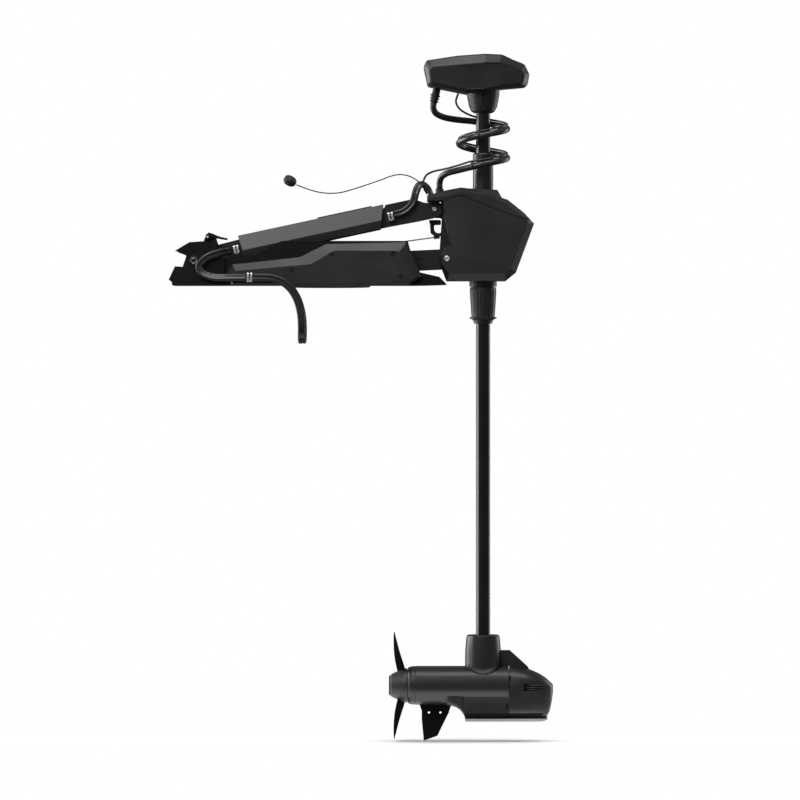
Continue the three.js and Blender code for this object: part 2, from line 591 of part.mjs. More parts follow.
function buildLowerUnit() {
  node('motor_housing', motorHousing(), PAINT.plastic);
  node('motor_collar', motorCollar(), PAINT.plastic);
  node('nose_hood', noseHood(), PAINT.plastic);
  node('sonar_transducer', box(374, 538, -32, 32, -950, -933), PAINT.rubber);
  node('skeg', skeg(), PAINT.composite);
  node('motor_stator', ring(37.5, 24, 300, 400, 'x', [0, 0, MOTOR_Z]), PAINT.copper);
  const spindle = [[0, 201], [5, 201], [5, 305], [23, 305], [23, 395], [7, 395], [7, 420], [0, 420]];
  node('motor_rotor', turned(spindle, 'x', [0, 0, MOTOR_Z]), PAINT.steel);
  node('propeller', propeller(), PAINT.composite);
  const cap = [[0, 196], [16, 196], [17.5, 197.2], [17.5, 198], [4.6, 200 - GAP], [0, 200 - GAP]];
  node('prop_nut', turned(cap, 'x', [0, 0, MOTOR_Z], 24), PAINT.composite);
}

// ---- cables and cords -------------------------------------------------------------------------
const COIL = { radius: 53, pitch: 63.7, top: 360.6, turns: 1.5 };
const HARNESS_R = 6.5;
const REAR_CLAMP = { s: 95, n: 4.6, y: -49 };
const FRONT_CLAMP = { s: 441, n: 4, y: -49 };
const BASE_CLAMP = { x: -109.3, y: -97, z: 16.3 };
const STORE = { x: 60, y: 190, radius: 85, width: 17, height: 17 }; // coil of spare power cable on the deck
const RELEASE = { x: 223, y: 14, z: 96.4, tilt: 7.7, length: 72, barrel: 12 };
const PLUG = { x: 62, y: 214, length: 60, radius: 15 };

// Turns round the shaft, starting behind it and winding down clockwise seen from above.
function coilTurns(rise) {
  const points = [];
  const steps = Math.round(COIL.turns * 12);
  for (let i = 0; i <= steps; i += 1) {
    const share = i / 12;
    const a = Math.PI / 2 - share * 2 * Math.PI;
    const z = COIL.top - share * COIL.pitch + rise;
    points.push([SHAFT_X + COIL.radius * Math.cos(a), COIL.radius * Math.sin(a), z]);
  }
  return points;
}

const CONDUIT_IN = [
  [293, 0, 401.4], [293, 0, 392], [298, 8, 382], [318, 26, 374], [348, 43, 368], [376, 51.5, 364],
];
const CONDUIT_OUT = [
  [374, -49, 258.5], [346, -38, 252], [322, -22, 246], [310, -8, 238], [306, 0, 226], [306, 0, 213.6],
];
const LEAD_IN = [[347, 8, 422.6], [342, 9, 406], [349, 22, 391], [366, 38, 380], [385, 50, 373.5]];
const LEAD_OUT = [
  [374, -50, 271], [346, -44, 262.5], [318, -38, 255], [290, -30, 249], [276, -24, 241],
  [270, -20, 226], [272, -18, 212], [279, -17, 200.8],
];
const PULL_CORD = [
  [286, -8, 199.4], [276, -8, 211], [264, -8, 224.6], [241.3, -8, 239.4], [218.9, -8, 243.8],
  [198, -8, 240], [177.5, -8, 232.1], [151, -8, 223], [125, -8, 214.5], [89.8, -8, 204.6],
  [63, -8, 202.6], [37.2, -8, 205.7], [14, -8, 212.5], [-9, -8, 221.5],
];
const HARNESS_FRONT = [
  [205.6, -49, 155.4], [219, -49, 158.2], [236, -49.5, 168], [248, -49.5, 184], [254, -49, 205],
  [261, -42, 219], [272, -34, 220], [281, -31, 212], [286.5, -30, 203.4],
];
const HARNESS_REAR = [
  [-151.5, -53.5, 75.4], [-158, -62, 74], [-166, -78, 72.6], [-178, -86.5, 69.6], [-196, -87, 64],
  [-210, -87, 55], [-219.6, -87, 41], [-213.6, -88.5, 26.5], [-193, -92, 18], [-165, -96.5, 15.8],
  [-140, -97, 16], [-117, -97, 16.3],
];
const POWER_CABLE = [
  [-101.6, -97, 16.3], [-84, -97, 16.3], [-66, -97, 15.6], [-48, -97, 11.2], [-32, -97, 2.5],
  [-18, -97, -11], [-8, -97, -28], [-1, -97, -48], [3, -97, -70], [4, -94, -94], [4, -80, -113],
  [4, -52, -122], [4, 0, -124], [4, 52, -122], [4, 84, -112], [4, 102, -92], [1.5, 109, -62],
  [-7, 111, -31], [-19, 114, -9], [-28, 124, 7.5], [-29.2, 140, 8.5],
];
const POWER_TAIL = [[17, 242, 8.5], [30, 245.5, 9.5], [44, 242.5, 12], [55, 234, 14.5], [61, 224, 15.4],
  [62, 215.4, 15.5]];

// Thin rod with a barrel end, from the steering housing back along the arm.
function releaseRod() {
  const { x, y, z, tilt, length, barrel } = RELEASE;
  const wire = rod(1.5, 0, length, 'x', [0, 0, 0], 10);
  const end = rod(4, length - 1, length + barrel, 'x', [0, 0, 0], 12);
  return join(wire, end).rotate([0, -tilt, 0]).translate([x, y, z]);
}

function buildCables() {
  const conduit = [...CONDUIT_IN, ...coilTurns(0), ...CONDUIT_OUT];
  node('coil_conduit', hose(conduit, 14, 14, 52), PAINT.rubber);
  const lead = [...LEAD_IN, ...coilTurns(9.9), ...LEAD_OUT];
  node('sensor_lead', hose(lead, 4.6, 4.6, 52, 6), PAINT.rubber);
  node('harness_front', hose(HARNESS_FRONT, 2 * HARNESS_R, 2 * HARNESS_R, 20), PAINT.rubber);
  node('harness_rear', hose(HARNESS_REAR, 2 * HARNESS_R, 2 * HARNESS_R, 26), PAINT.rubber);
  node('power_cable', hose(POWER_CABLE, 2 * HARNESS_R, 2 * HARNESS_R, 40), PAINT.rubber);
  const { radius, width, height } = STORE;
  const store = ring(radius + width / 2, radius - width / 2, 0.2, height, 'z', [STORE.x, STORE.y, 0], 32);
  node('power_cable_coil', store, PAINT.rubber);
  node('power_cable_tail', hose(POWER_TAIL, 2 * HARNESS_R, 2 * HARNESS_R, 12), PAINT.rubber);
  const plug = [[0, -PLUG.length], [PLUG.radius - 2, -PLUG.length], [PLUG.radius, -PLUG.length + 3],
    [PLUG.radius, -16], [PLUG.radius - 4, -8], [8, 0], [0, 0]];
  node('power_plug', turned(plug, 'y', [PLUG.x, PLUG.y, PLUG.radius + 0.3], 32), PAINT.rubber);
  node('pull_cord', hose(PULL_CORD, 2.6, 2.6, 36, 6), PAINT.rubber);
  const knob = [[0, -15], [7, -14], [11, -8], [12, 0], [10.5, 8], [6, 13], [3, 14], [0, 14]];
  const grip = turned(knob, 'x', [0, 0, 0], 24).rotate([0, 28, 0]).translate([-22.5, -8, 229.5]);
  node('pull_handle', grip, PAINT.rubber);
  const armTilt = (Math.atan2(ARM_SIN, ARM_COS) * 180) / Math.PI;
  for (const [name, clamp] of [['arm_clamp_rear', REAR_CLAMP], ['arm_clamp_front', FRONT_CLAMP]]) {
    const [x, z] = onArm(clamp.s, clamp.n);
    const body = mirrorY(cableClamp([x, -clamp.y, z], armTilt, -clamp.y - ARM_PLATE.outer));
    node(name, body, PAINT.steel);
  }
  const baseAt = [BASE_CLAMP.x, -BASE_CLAMP.y, BASE_CLAMP.z];
  node('base_clamp', mirrorY(cableClamp(baseAt, 0, -BASE_CLAMP.y - COVER_Y)), PAINT.steel);
  node('release_rod', releaseRod(), PAINT.steel);
}

buildBase();
buildArms();
buildHousing();
buildSteering();
buildHead();
buildLowerUnit();
buildCables();

export default part;
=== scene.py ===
"""Looks of the trolling motor: camera, studio, cables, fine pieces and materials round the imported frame."""
import json
import math

import bmesh
import bpy
import numpy as np
from mathutils import Matrix, Vector

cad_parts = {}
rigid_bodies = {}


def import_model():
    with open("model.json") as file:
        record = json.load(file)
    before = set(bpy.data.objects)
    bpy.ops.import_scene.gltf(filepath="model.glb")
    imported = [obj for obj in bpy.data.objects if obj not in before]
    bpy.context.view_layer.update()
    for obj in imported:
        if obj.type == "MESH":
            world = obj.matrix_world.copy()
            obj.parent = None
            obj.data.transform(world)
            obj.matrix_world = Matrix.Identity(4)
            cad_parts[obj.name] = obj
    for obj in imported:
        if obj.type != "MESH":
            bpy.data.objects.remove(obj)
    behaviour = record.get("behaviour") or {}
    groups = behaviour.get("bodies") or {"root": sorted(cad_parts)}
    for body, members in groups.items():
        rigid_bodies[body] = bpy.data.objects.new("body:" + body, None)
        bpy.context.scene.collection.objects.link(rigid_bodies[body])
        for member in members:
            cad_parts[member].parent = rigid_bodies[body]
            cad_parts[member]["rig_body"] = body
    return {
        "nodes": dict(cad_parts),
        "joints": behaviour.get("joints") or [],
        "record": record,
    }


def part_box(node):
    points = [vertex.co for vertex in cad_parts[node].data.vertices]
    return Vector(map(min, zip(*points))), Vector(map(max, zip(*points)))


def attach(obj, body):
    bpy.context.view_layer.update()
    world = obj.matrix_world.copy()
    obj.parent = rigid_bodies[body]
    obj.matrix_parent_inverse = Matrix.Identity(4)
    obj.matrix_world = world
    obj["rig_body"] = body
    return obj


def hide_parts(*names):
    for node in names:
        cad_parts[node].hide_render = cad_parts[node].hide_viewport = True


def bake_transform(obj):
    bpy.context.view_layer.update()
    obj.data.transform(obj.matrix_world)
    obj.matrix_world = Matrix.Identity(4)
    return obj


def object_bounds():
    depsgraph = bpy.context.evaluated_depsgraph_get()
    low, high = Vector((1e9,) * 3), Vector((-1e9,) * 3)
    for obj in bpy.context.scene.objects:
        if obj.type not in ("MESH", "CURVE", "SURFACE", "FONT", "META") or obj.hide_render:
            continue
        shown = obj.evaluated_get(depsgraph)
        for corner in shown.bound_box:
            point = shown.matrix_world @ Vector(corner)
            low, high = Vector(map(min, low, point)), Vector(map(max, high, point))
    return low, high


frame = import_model()
CAD_LOW, CAD_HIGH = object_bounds()
NODES = frame["nodes"]
MM = 0.001


def middle(node):
    low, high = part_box(node)
    return (low + high) / 2


def joint_place(name):
    return Vector(next(j["pos_m"] for j in frame["joints"] if j["name"] == name))


SHAFT_X = middle("shaft").x
MOTOR_Z = middle("motor_housing").z
STOW_PIVOT = joint_place("stow")
ARM_PIVOT = joint_place("housing_tilt")
LEVER_PIVOT = joint_place("lever_lift")
LINK_PIVOT = joint_place("link_swing")
LINK_REAR = Vector((-0.172, 0, 0.035))

# ---- camera and studio ----------------------------------------------------------------------
VIEW_WIDTH = 1.76
VIEW_DISTANCE = 12.0
SENSOR = 36.0
VIEW_X = 0.2189
VIEW_Z = -0.2519
CAMERA_Z = -0.2
FLOOR_DROP = 0.0012
FLOOR_DEPTH = 0.2
FLOOR_ENDS = (-0.72, 1.18)
FLOOR_GLOW = 0.03
SURROUND = (0.07, 0.22)
FLOOR_LAMP = ("floor_lamp", (0.25, 0, -0.45), (0.25, 0, -1), (2.7, 0.6), 11.9)
LAMPS = [  # name, place, aim, size, watts
    ("top", (0.2, -0.9, 2.4), (0.25, 0, 0), (2.4, 1.2), 40),
    ("front_left", (-1.6, -3.2, 2.3), (0.3, 0, -0.1), (1.8, 1.4), 80),
    ("rim_left", (-2.6, 0.8, 0.0), (0.35, 0, -0.3), (2.8, 2.8), 130),
    ("rim_right", (3.0, 1.7, 0.0), (0.4, 0, -0.3), (1.1, 2.8), 34),
    ("floor_bounce", (0.36, -0.06, -0.998), (0.36, -0.06, 0), (0.6, 0.3), 0.62),
]


def make_camera():
    data = bpy.data.cameras.new("camera")
    data.sensor_width = SENSOR
    data.lens = SENSOR * VIEW_DISTANCE / VIEW_WIDTH
    data.shift_y = (VIEW_Z - CAMERA_Z) / VIEW_WIDTH
    data.clip_end = 60
    camera = bpy.data.objects.new("camera", data)
    camera.location = (VIEW_X, -VIEW_DISTANCE, CAMERA_Z)
    camera.rotation_euler = (math.radians(90), 0, 0)
    bpy.context.scene.collection.objects.link(camera)
    bpy.context.scene.camera = camera


def area_light(name, place, aim, size, power):
    data = bpy.data.lights.new(name, "AREA")
    data.shape = "RECTANGLE"
    data.size, data.size_y = size
    data.energy = power
    lamp = bpy.data.objects.new(name, data)
    lamp.location = place
    lamp.rotation_euler = (Vector(aim) - Vector(place)).to_track_quat("-Z", "Y").to_euler()
    lamp.visible_camera = False
    bpy.context.scene.collection.objects.link(lamp)
    return lamp


def make_world():
    """White behind the object, and a dimmer surround for light and reflections."""
    world = bpy.data.worlds.new("studio")
    bpy.context.scene.world = world
    world.use_nodes = True
    tree = world.node_tree
    tree.nodes.clear()
    seen = tree.nodes.new("ShaderNodeBackground")
    seen.inputs["Color"].default_value = (1, 1, 1, 1)
    around = tree.nodes.new("ShaderNodeBackground")
    around.inputs["Color"].default_value = (1, 1, 1, 1)
    place = tree.nodes.new("ShaderNodeTexCoord")
    split = tree.nodes.new("ShaderNodeSeparateXYZ")
    tree.links.new(place.outputs["Generated"], split.inputs["Vector"])
    height = tree.nodes.new("ShaderNodeMapRange")
    height.inputs["From Min"].default_value = -0.5
    height.inputs["From Max"].default_value = 0.3
    height.inputs["To Min"].default_value, height.inputs["To Max"].default_value = SURROUND
    tree.links.new(split.outputs["Z"], height.inputs["Value"])
    tree.links.new(height.outputs["Result"], around.inputs["Strength"])
    path = tree.nodes.new("ShaderNodeLightPath")
    mix = tree.nodes.new("ShaderNodeMixShader")
    out = tree.nodes.new("ShaderNodeOutputWorld")
    tree.links.new(path.outputs["Is Camera Ray"], mix.inputs["Fac"])
    tree.links.new(around.outputs[0], mix.inputs[1])
    tree.links.new(seen.outputs[0], mix.inputs[2])
    tree.links.new(mix.outputs[0], out.inputs["Surface"])


def make_floor():
    """A narrow white floor that ends before it could show a horizon; its own lamp gives the shadow."""
    z = CAD_LOW.z - FLOOR_DROP
    mesh = bpy.data.meshes.new("floor")
    x0, x1 = FLOOR_ENDS
    corners = [(x0, -FLOOR_DEPTH, z), (x1, -FLOOR_DEPTH, z), (x1, FLOOR_DEPTH, z), (x0, FLOOR_DEPTH, z)]
    mesh.from_pydata(corners, [], [(0, 1, 2, 3)])
    floor = bpy.data.objects.new("floor", mesh)
    bpy.context.scene.collection.objects.link(floor)
    material = bpy.data.materials.new("floor_white")
    material.use_nodes = True
    shader = material.node_tree.nodes["Principled BSDF"]
    shader.inputs["Base Color"].default_value = (0.9, 0.9, 0.9, 1)
    shader.inputs["Roughness"].default_value = 1
    shader.inputs["Specular IOR Level"].default_value = 0
    shader.inputs["Emission Color"].default_value = (1, 1, 1, 1)
    shader.inputs["Emission Strength"].default_value = FLOOR_GLOW
    mesh.materials.append(material)
    lamp = area_light(*FLOOR_LAMP)
    light_only(lamp, floor, "INCLUDE")
    return floor


def light_only(lamp, ob, state):
    """INCLUDE keeps the lamp for one object, EXCLUDE keeps it off that object."""
    group = bpy.data.collections.new(f"{lamp.name}_{state.lower()}")
    group.objects.link(ob)
    group.collection_objects[0].light_linking.link_state = state
    lamp.light_linking.receiver_collection = group


def make_studio():
    bpy.context.scene.view_settings.view_transform = "Standard"
    make_world()
    floor = make_floor()
    for row in LAMPS:
        light_only(area_light(*row), floor, "EXCLUDE")


# ---- materials ------------------------------------------------------------------------------
def link_range(tree, source, low, high, target):
    node = tree.nodes.new("ShaderNodeMapRange")
    node.inputs["From Min"].default_value = 0.3
    node.inputs["From Max"].default_value = 0.7
    node.inputs["To Min"].default_value = low
    node.inputs["To Max"].default_value = high
    tree.links.new(source, node.inputs["Value"])
    tree.links.new(node.outputs["Result"], target)


def noise(tree, scale, detail, stretch=(1, 1, 1)):
    place = tree.nodes.new("ShaderNodeTexCoord")
    mapping = tree.nodes.new("ShaderNodeMapping")
    mapping.inputs["Scale"].default_value = stretch
    node = tree.nodes.new("ShaderNodeTexNoise")
    node.inputs["Scale"].default_value = scale
    node.inputs["Detail"].default_value = detail
    tree.links.new(place.outputs["Object"], mapping.inputs["Vector"])
    tree.links.new(mapping.outputs["Vector"], node.inputs["Vector"])
    return node.outputs["Fac"]


def make_material(name, colour, roughness, metal=0.0, grain=0.5, bump=0.12, spread=0.16, wear=0.15,
                  spec=0.5, stretch=(1, 1, 1)):
    """Base colour with soft mottling, grain of the given size in mm, and lighter rubbed edges."""
    material = bpy.data.materials.new(name)
    material.use_nodes = True
    tree = material.node_tree
    shader = tree.nodes["Principled BSDF"]
    shader.inputs["Metallic"].default_value = metal
    shader.inputs["Specular IOR Level"].default_value = spec
    cloud = noise(tree, 14, 5)
    fine = noise(tree, 1000 / grain, 3, stretch)
    blend = tree.nodes.new("ShaderNodeMix")
    blend.data_type = "RGBA"
    blend.inputs["A"].default_value = (*[c * (1 - spread) for c in colour], 1)
    blend.inputs["B"].default_value = (*[c * (1 + spread) for c in colour], 1)
    link_range(tree, cloud, 0, 1, blend.inputs["Factor"])
    edges = tree.nodes.new("ShaderNodeNewGeometry")
    rubbed = tree.nodes.new("ShaderNodeMapRange")
    rubbed.inputs["From Min"].default_value = 0.515
    rubbed.inputs["From Max"].default_value = 0.6
    rubbed.inputs["To Max"].default_value = wear
    tree.links.new(edges.outputs["Pointiness"], rubbed.inputs["Value"])
    worn = tree.nodes.new("ShaderNodeMix")
    worn.data_type = "RGBA"
    worn.inputs["B"].default_value = (*[min(1, c * 2.2 + 0.02) for c in colour], 1)
    tree.links.new(rubbed.outputs["Result"], worn.inputs["Factor"])
    tree.links.new(blend.outputs["Result"], worn.inputs["A"])
    tree.links.new(worn.outputs["Result"], shader.inputs["Base Color"])
    link_range(tree, cloud, roughness * 0.9, roughness * 1.12, shader.inputs["Roughness"])
    relief = tree.nodes.new("ShaderNodeBump")
    relief.inputs["Strength"].default_value = bump
    relief.inputs["Distance"].default_value = 0.1 * MM
    tree.links.new(fine, relief.inputs["Height"])
    tree.links.new(relief.outputs["Normal"], shader.inputs["Normal"])
    return material


MATERIALS = {
    "black_alloy": make_material("black_alloy", (0.0085, 0.0085, 0.0087), 0.42, grain=0.35, bump=0.1),
    # base_black: darker and less glossy than black_alloy; used for the base's black parts and as painted
    # shade in the shade plates and the hood groove
    "base_black": make_material("base_black", (0.0022, 0.0022, 0.0023), 0.46, grain=0.35, bump=0.1,
                                spec=0.22),
    "cover_plastic": make_material("cover_plastic", (0.013, 0.013, 0.0135), 0.44, grain=0.6, bump=0.2),
    "tube_finish": make_material("tube_finish", (0.01, 0.01, 0.0105), 0.34, grain=0.5, bump=0.08),
    "motor_paint": make_material("motor_paint", (0.013, 0.013, 0.0135), 0.36, grain=0.45, bump=0.12),
    "arm_paint": make_material("arm_paint", (0.036, 0.036, 0.0365), 0.42, grain=0.4, bump=0.14),
    "shaft_composite": make_material("shaft_composite", (0.004, 0.004, 0.0043), 0.24, grain=0.8, bump=0.03,
                                     wear=0),
    "blade_composite": make_material("blade_composite", (0.0045, 0.0045, 0.0046), 0.6, grain=0.5, bump=0.12,
                                     wear=0, spec=0),
    "hub_composite": make_material("hub_composite", (0.011, 0.011, 0.0113), 0.46, grain=0.5, bump=0.12),
    # sonar_face: light grey, a painted highlight for the light that reaches the sonar window from below
    "sonar_face": make_material("sonar_face", (0.19, 0.19, 0.194), 0.32, grain=0.6, bump=0.05, wear=0),
    "rubber": make_material("rubber", (0.006, 0.006, 0.006), 0.55, grain=0.7, bump=0.2),
    "cable_jacket": make_material("cable_jacket", (0.022, 0.022, 0.0225), 0.3, grain=0.9, bump=0.05, wear=0),
    "stainless": make_material("stainless", (0.72, 0.72, 0.715), 0.42, metal=1, grain=0.25, bump=0.1,
                               stretch=(1, 1, 0.06)),
    "zinc_wire": make_material("zinc_wire", (0.3, 0.3, 0.3), 0.4, grain=0.3, bump=0.1, wear=0),
    "winding": make_material("winding", (0.5, 0.2, 0.08), 0.35, metal=1, grain=0.8, bump=0.6,
                             stretch=(1, 1, 0.1)),
    "circuit_board": make_material("circuit_board", (0.02, 0.12, 0.05), 0.5, grain=2.0, bump=0.3),
}
SLOT_OF = {s["node"]: s["material_slot"] for s in frame["record"]["subparts"]}


# ---- making pieces --------------------------------------------------------------------------
def body_of_node(node):
    return NODES[node]["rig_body"]


def mesh_object(name, verts, faces, slot, smooth=True):
    mesh = bpy.data.meshes.new(name)
    mesh.from_pydata([tuple(v) for v in verts], [], faces)
    mesh.materials.append(MATERIALS[slot])
    ob = bpy.data.objects.new(name, mesh)
    bpy.context.scene.collection.objects.link(ob)
    bm = bmesh.new()
    bm.from_mesh(mesh)
    bmesh.ops.recalc_face_normals(bm, faces=bm.faces)
    bm.to_mesh(mesh)
    bm.free()
    mesh.polygons.foreach_set("use_smooth", [smooth] * len(mesh.polygons))
    return ob


def soften_edges(ob, width, segments=3, angle=28):
    bevel = ob.modifiers.new("edges", "BEVEL")
    bevel.width = width * MM
    bevel.segments = segments
    bevel.limit_method = "ANGLE"
    bevel.angle_limit = math.radians(angle)
    bevel.harden_normals = True
    normals = ob.modifiers.new("normals", "WEIGHTED_NORMAL")
    normals.weight = 100
    normals.keep_sharp = True
    return ob


def stand_for(ob, *nodes, body=None):
    """The piece rides where its CAD nodes ride, and is shown in their place."""
    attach(ob, body or body_of_node(nodes[0]))
    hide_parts(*nodes)
    return ob


def refined(node, width=0.8, segments=3, angle=28, voxel=0.0, rounds=0, finish=None):
    """A cleaned copy of a CAD node with rounded edges, shown in its place."""
    bm = bmesh.new()
    bm.from_mesh(NODES[node].data)
    bmesh.ops.remove_doubles(bm, verts=bm.verts, dist=0.02 * MM)
    bmesh.ops.dissolve_limit(bm, angle_limit=math.radians(1), verts=bm.verts, edges=bm.edges)
    mesh = bpy.data.meshes.new(node + "_fine")
    bm.to_mesh(mesh)
    bm.free()
    slot = SLOT_OF[node]
    mesh.materials.append(MATERIALS[finish or slot])
    mesh.polygons.foreach_set("use_smooth", [True] * len(mesh.polygons))
    ob = bpy.data.objects.new(node + "_fine", mesh)
    bpy.context.scene.collection.objects.link(ob)
    if voxel:
        remesh = ob.modifiers.new("remesh", "REMESH")
        remesh.mode = "VOXEL"
        remesh.voxel_size = voxel * MM
        remesh.use_smooth_shade = True
        smooth = ob.modifiers.new("smooth", "SMOOTH")
        smooth.iterations = rounds
    else:
        soften_edges(ob, width, segments, angle)
    return stand_for(ob, node)


def dress(node):
    """A CAD node that keeps its own shape gets its procedural material."""
    ob = NODES[node]
    if not ob.material_slots:
        ob.data.materials.append(None)
    for entry in ob.material_slots:
        entry.link = "OBJECT"
        entry.material = MATERIALS[SLOT_OF[node]]


AXES = {
    "x": lambda r, a, t: (t, r * math.cos(a), r * math.sin(a)),
    "y": lambda r, a, t: (r * math.cos(a), t, r * math.sin(a)),
    "z": lambda r, a, t: (r * math.cos(a), r * math.sin(a), t),
}


def lathe(name, profile, axis, at, slot, sides=96, closed=False, shape=None):
    """A turned piece; profile points are (radius, place along the axis) in mm, at in metres."""
    verts, faces = [], []
    at = Vector(at)
    for k, (r, t) in enumerate(profile):
        for i in range(sides):
            a = 2 * math.pi * i / sides
            radius = shape(k, r, a) if shape else r
            verts.append(at + Vector(AXES[axis](radius * MM, a, t * MM)))
    rows = len(profile)
    for k in range(rows if closed else rows - 1):
        for i in range(sides):
            j = (i + 1) % sides
            n = (k + 1) % rows
            faces.append((k * sides + i, k * sides + j, n * sides + j, n * sides + i))
    if not closed:
        faces.append(tuple(range(sides)))
        faces.append(tuple(range((rows - 1) * sides, rows * sides)))
    return mesh_object(name, verts, faces, slot)


def layered(name, rings, slot):
    """A closed piece through rings of points in metres, all with the same number of points."""
    count = len(rings[0])
    verts = [v for ring in rings for v in ring]
    faces = []
    for k in range(len(rings) - 1):
        for i in range(count):
            j = (i + 1) % count
            faces.append((k * count + i, k * count + j, (k + 1) * count + j, (k + 1) * count + i))
    faces.append(tuple(range(count)))
    faces.append(tuple(range((len(rings) - 1) * count, len(rings) * count)))
    return mesh_object(name, verts, faces, slot)


def looped(name, rings, slot):
    """A closed band: the last ring joins the first, as in a strap with an inside and an outside."""
    count = len(rings[0])
    verts = [v for ring in rings for v in ring]
    faces = []
    for k in range(len(rings)):
        n = (k + 1) % len(rings)
        for i in range(count):
            j = (i + 1) % count
            faces.append((k * count + i, k * count + j, n * count + j, n * count + i))
    return mesh_object(name, verts, faces, slot)


def y_ring(outline, y):
    return [Vector((x, y, z)) * MM for x, z in outline]


def prism(outline, y0, y1):
    """A cutter with its outline in X and Z."""
    return layered("cutter", [y_ring(outline, y0), y_ring(outline, y1)], "rubber")


def block(x0, x1, y0, y1, z0, z1):
    return prism([(x0, z0), (x1, z0), (x1, z1), (x0, z1)], y0, y1)


def bore(axis, radius, start, end, at):
    """A round cutter; at in mm."""
    return lathe("cutter", [(radius, start), (radius, end)], axis, Vector(at) * MM, "rubber", sides=48)


def carved(ob, cutters):
    """Cuts the cutters out of a piece for good."""
    for cutter in cutters:
        tool = ob.modifiers.new("cut", "BOOLEAN")
        tool.object = cutter
        tool.solver = "EXACT"
    graph = bpy.context.evaluated_depsgraph_get()
    mesh = bpy.data.meshes.new_from_object(ob.evaluated_get(graph), depsgraph=graph)
    ob.modifiers.clear()
    ob.data = mesh
    for cutter in cutters:
        bpy.data.objects.remove(cutter)
    return ob


def catmull(points, per=16):
    """A centripetal Catmull-Rom curve through the points."""
    p = np.array(points, float)
    p = np.vstack([2 * p[0] - p[1], p, 2 * p[-1] - p[-2]])
    out = []
    for i in range(1, len(p) - 2):
        x0, x1, x2, x3 = p[i - 1:i + 3]
        d0, d1, d2 = (max(1e-9, np.linalg.norm(b - a)) ** 0.5 for a, b in ((x0, x1), (x1, x2), (x2, x3)))
        t1 = ((x1 - x0) / d0 - (x2 - x0) / (d0 + d1) + (x2 - x1) / d1) * d1
        t2 = ((x2 - x1) / d1 - (x3 - x1) / (d1 + d2) + (x3 - x2) / d2) * d1
        for k in range(per):
            t = k / per
            square = -3 * x1 + 3 * x2 - 2 * t1 - t2
            cube = 2 * x1 - 2 * x2 + t1 + t2
            out.append(x1 + t1 * t + square * t ** 2 + cube * t ** 3)
    out.append(p[-2])
    return np.array(out)


def even(line, step):
    along = np.concatenate([[0], np.cumsum(np.linalg.norm(np.diff(line, axis=0), axis=1))])
    at = np.linspace(0, along[-1], max(2, math.ceil(along[-1] / step) + 1))
    return np.stack([np.interp(at, along, line[:, k]) for k in range(3)], axis=1)


def round_section(radius, sides=20):
    return [(radius * math.cos(2 * math.pi * i / sides), radius * math.sin(2 * math.pi * i / sides))
            for i in range(sides)]


def twin_section(strand, steps=12):
    """Two round strands side by side, joined by a web, as one outline."""
    out = []
    for middle_u, first in ((strand, -130), (-strand, 50)):
        for i in range(steps + 1):
            a = math.radians(first + 260 * i / steps)
            out.append((middle_u + strand * math.cos(a), strand * math.sin(a)))
    return out


def sweep_rings(line, section, side):
    """Rings of the section along a line in mm; side is where the section's first axis starts."""
    tangents = np.gradient(line, axis=0)
    tangents /= np.linalg.norm(tangents, axis=1)[:, None]
    u = np.array(side, float)
    rings = []
    for point, t in zip(line, tangents):
        u = u - (u @ t) * t
        u /= np.linalg.norm(u)
        v = np.cross(t, u)
        rings.append([(point + a * u + b * v) * MM for a, b in section])
    return rings


# ---- cords and cables -----------------------------------------------------------------------
COIL = {"radius": 53, "pitch": 63.7, "top": 360.6, "turns": 1.5}
LEAD_RISE = 9.9
STORE = {"x": 60, "y": 190, "radius": 85, "first": 205, "turns": 2}
STRAND = 4.25
CONDUIT_RADIUS = 7
LEAD_RADIUS = 2.3
PULL_RADIUS = 1.3
TIE_HEIGHTS = (259.5, 30)  # the lower tie's height, and the upper tie's height over the lowest half turn

CONDUIT_IN = [(293, 0, 401.4), (292, 0, 392), (296.5, 6, 381), (313, 22, 372), (346, 42, 366.5),
              (376, 51.5, 364)]
CONDUIT_OUT = [(374, -49, 258.5), (346, -38, 252), (322, -22, 246), (310, -8, 238), (306, 0, 226),
               (306, 0, 213.6)]
LEAD_IN = [(347, 8, 422.6), (342, 9, 406), (349, 22, 391), (366, 38, 380), (385, 50, 373.5)]
LEAD_OUT = [(374, -50, 271), (346, -44, 262.5), (318, -38, 255), (290, -30, 249), (276, -24, 241),
            (270, -20, 226), (272, -18, 212), (279, -17, 200.8)]
PULL_CORD = [(286, -8, 199.4), (276, -8, 211), (264, -8, 224.6), (241.3, -8, 239.4), (218.9, -8, 243.8),
             (198, -8, 240), (177.5, -8, 232.1), (151, -8, 223), (125, -8, 214.5), (89.8, -8, 204.6),
             (63, -8, 202.6), (37.2, -8, 205.7), (14, -8, 212.5), (-9, -8, 221.5)]
HARNESS_FRONT = [(205.6, -49, 155.4), (219, -49, 158.2), (236, -49.5, 168), (248, -49.5, 184),
                 (254, -49, 205), (261, -42, 219), (271, -34, 221), (280, -31, 214), (285.5, -30, 203.4),
                 (287, -30, 188)]
HARNESS_REAR = [(-151.5, -53.5, 75.4), (-158, -62, 74), (-166, -78, 72.6), (-178, -86.5, 69.6),
                (-196, -87, 64), (-210, -87, 55), (-219.6, -87, 41), (-213.6, -88.5, 26.5),
                (-193, -92, 18), (-165, -96.5, 15.8), (-140, -97, 16), (-117, -97, 16.3)]
POWER_CABLE = [(-101.6, -97, 16.3), (-84, -97, 16.3), (-66, -97, 15.6), (-48, -97, 11.2), (-32, -97, 2.5),
               (-18, -97, -11), (-8, -97, -28), (-1, -97, -48), (3, -97, -70), (4, -94, -94),
               (4, -80, -113), (4, -52, -122), (4, 0, -124), (4, 52, -122), (4, 84, -112),
               (4, 102, -92), (1.5, 109, -62), (-7, 111, -31), (-19, 114, -9), (-28, 124, 6)]
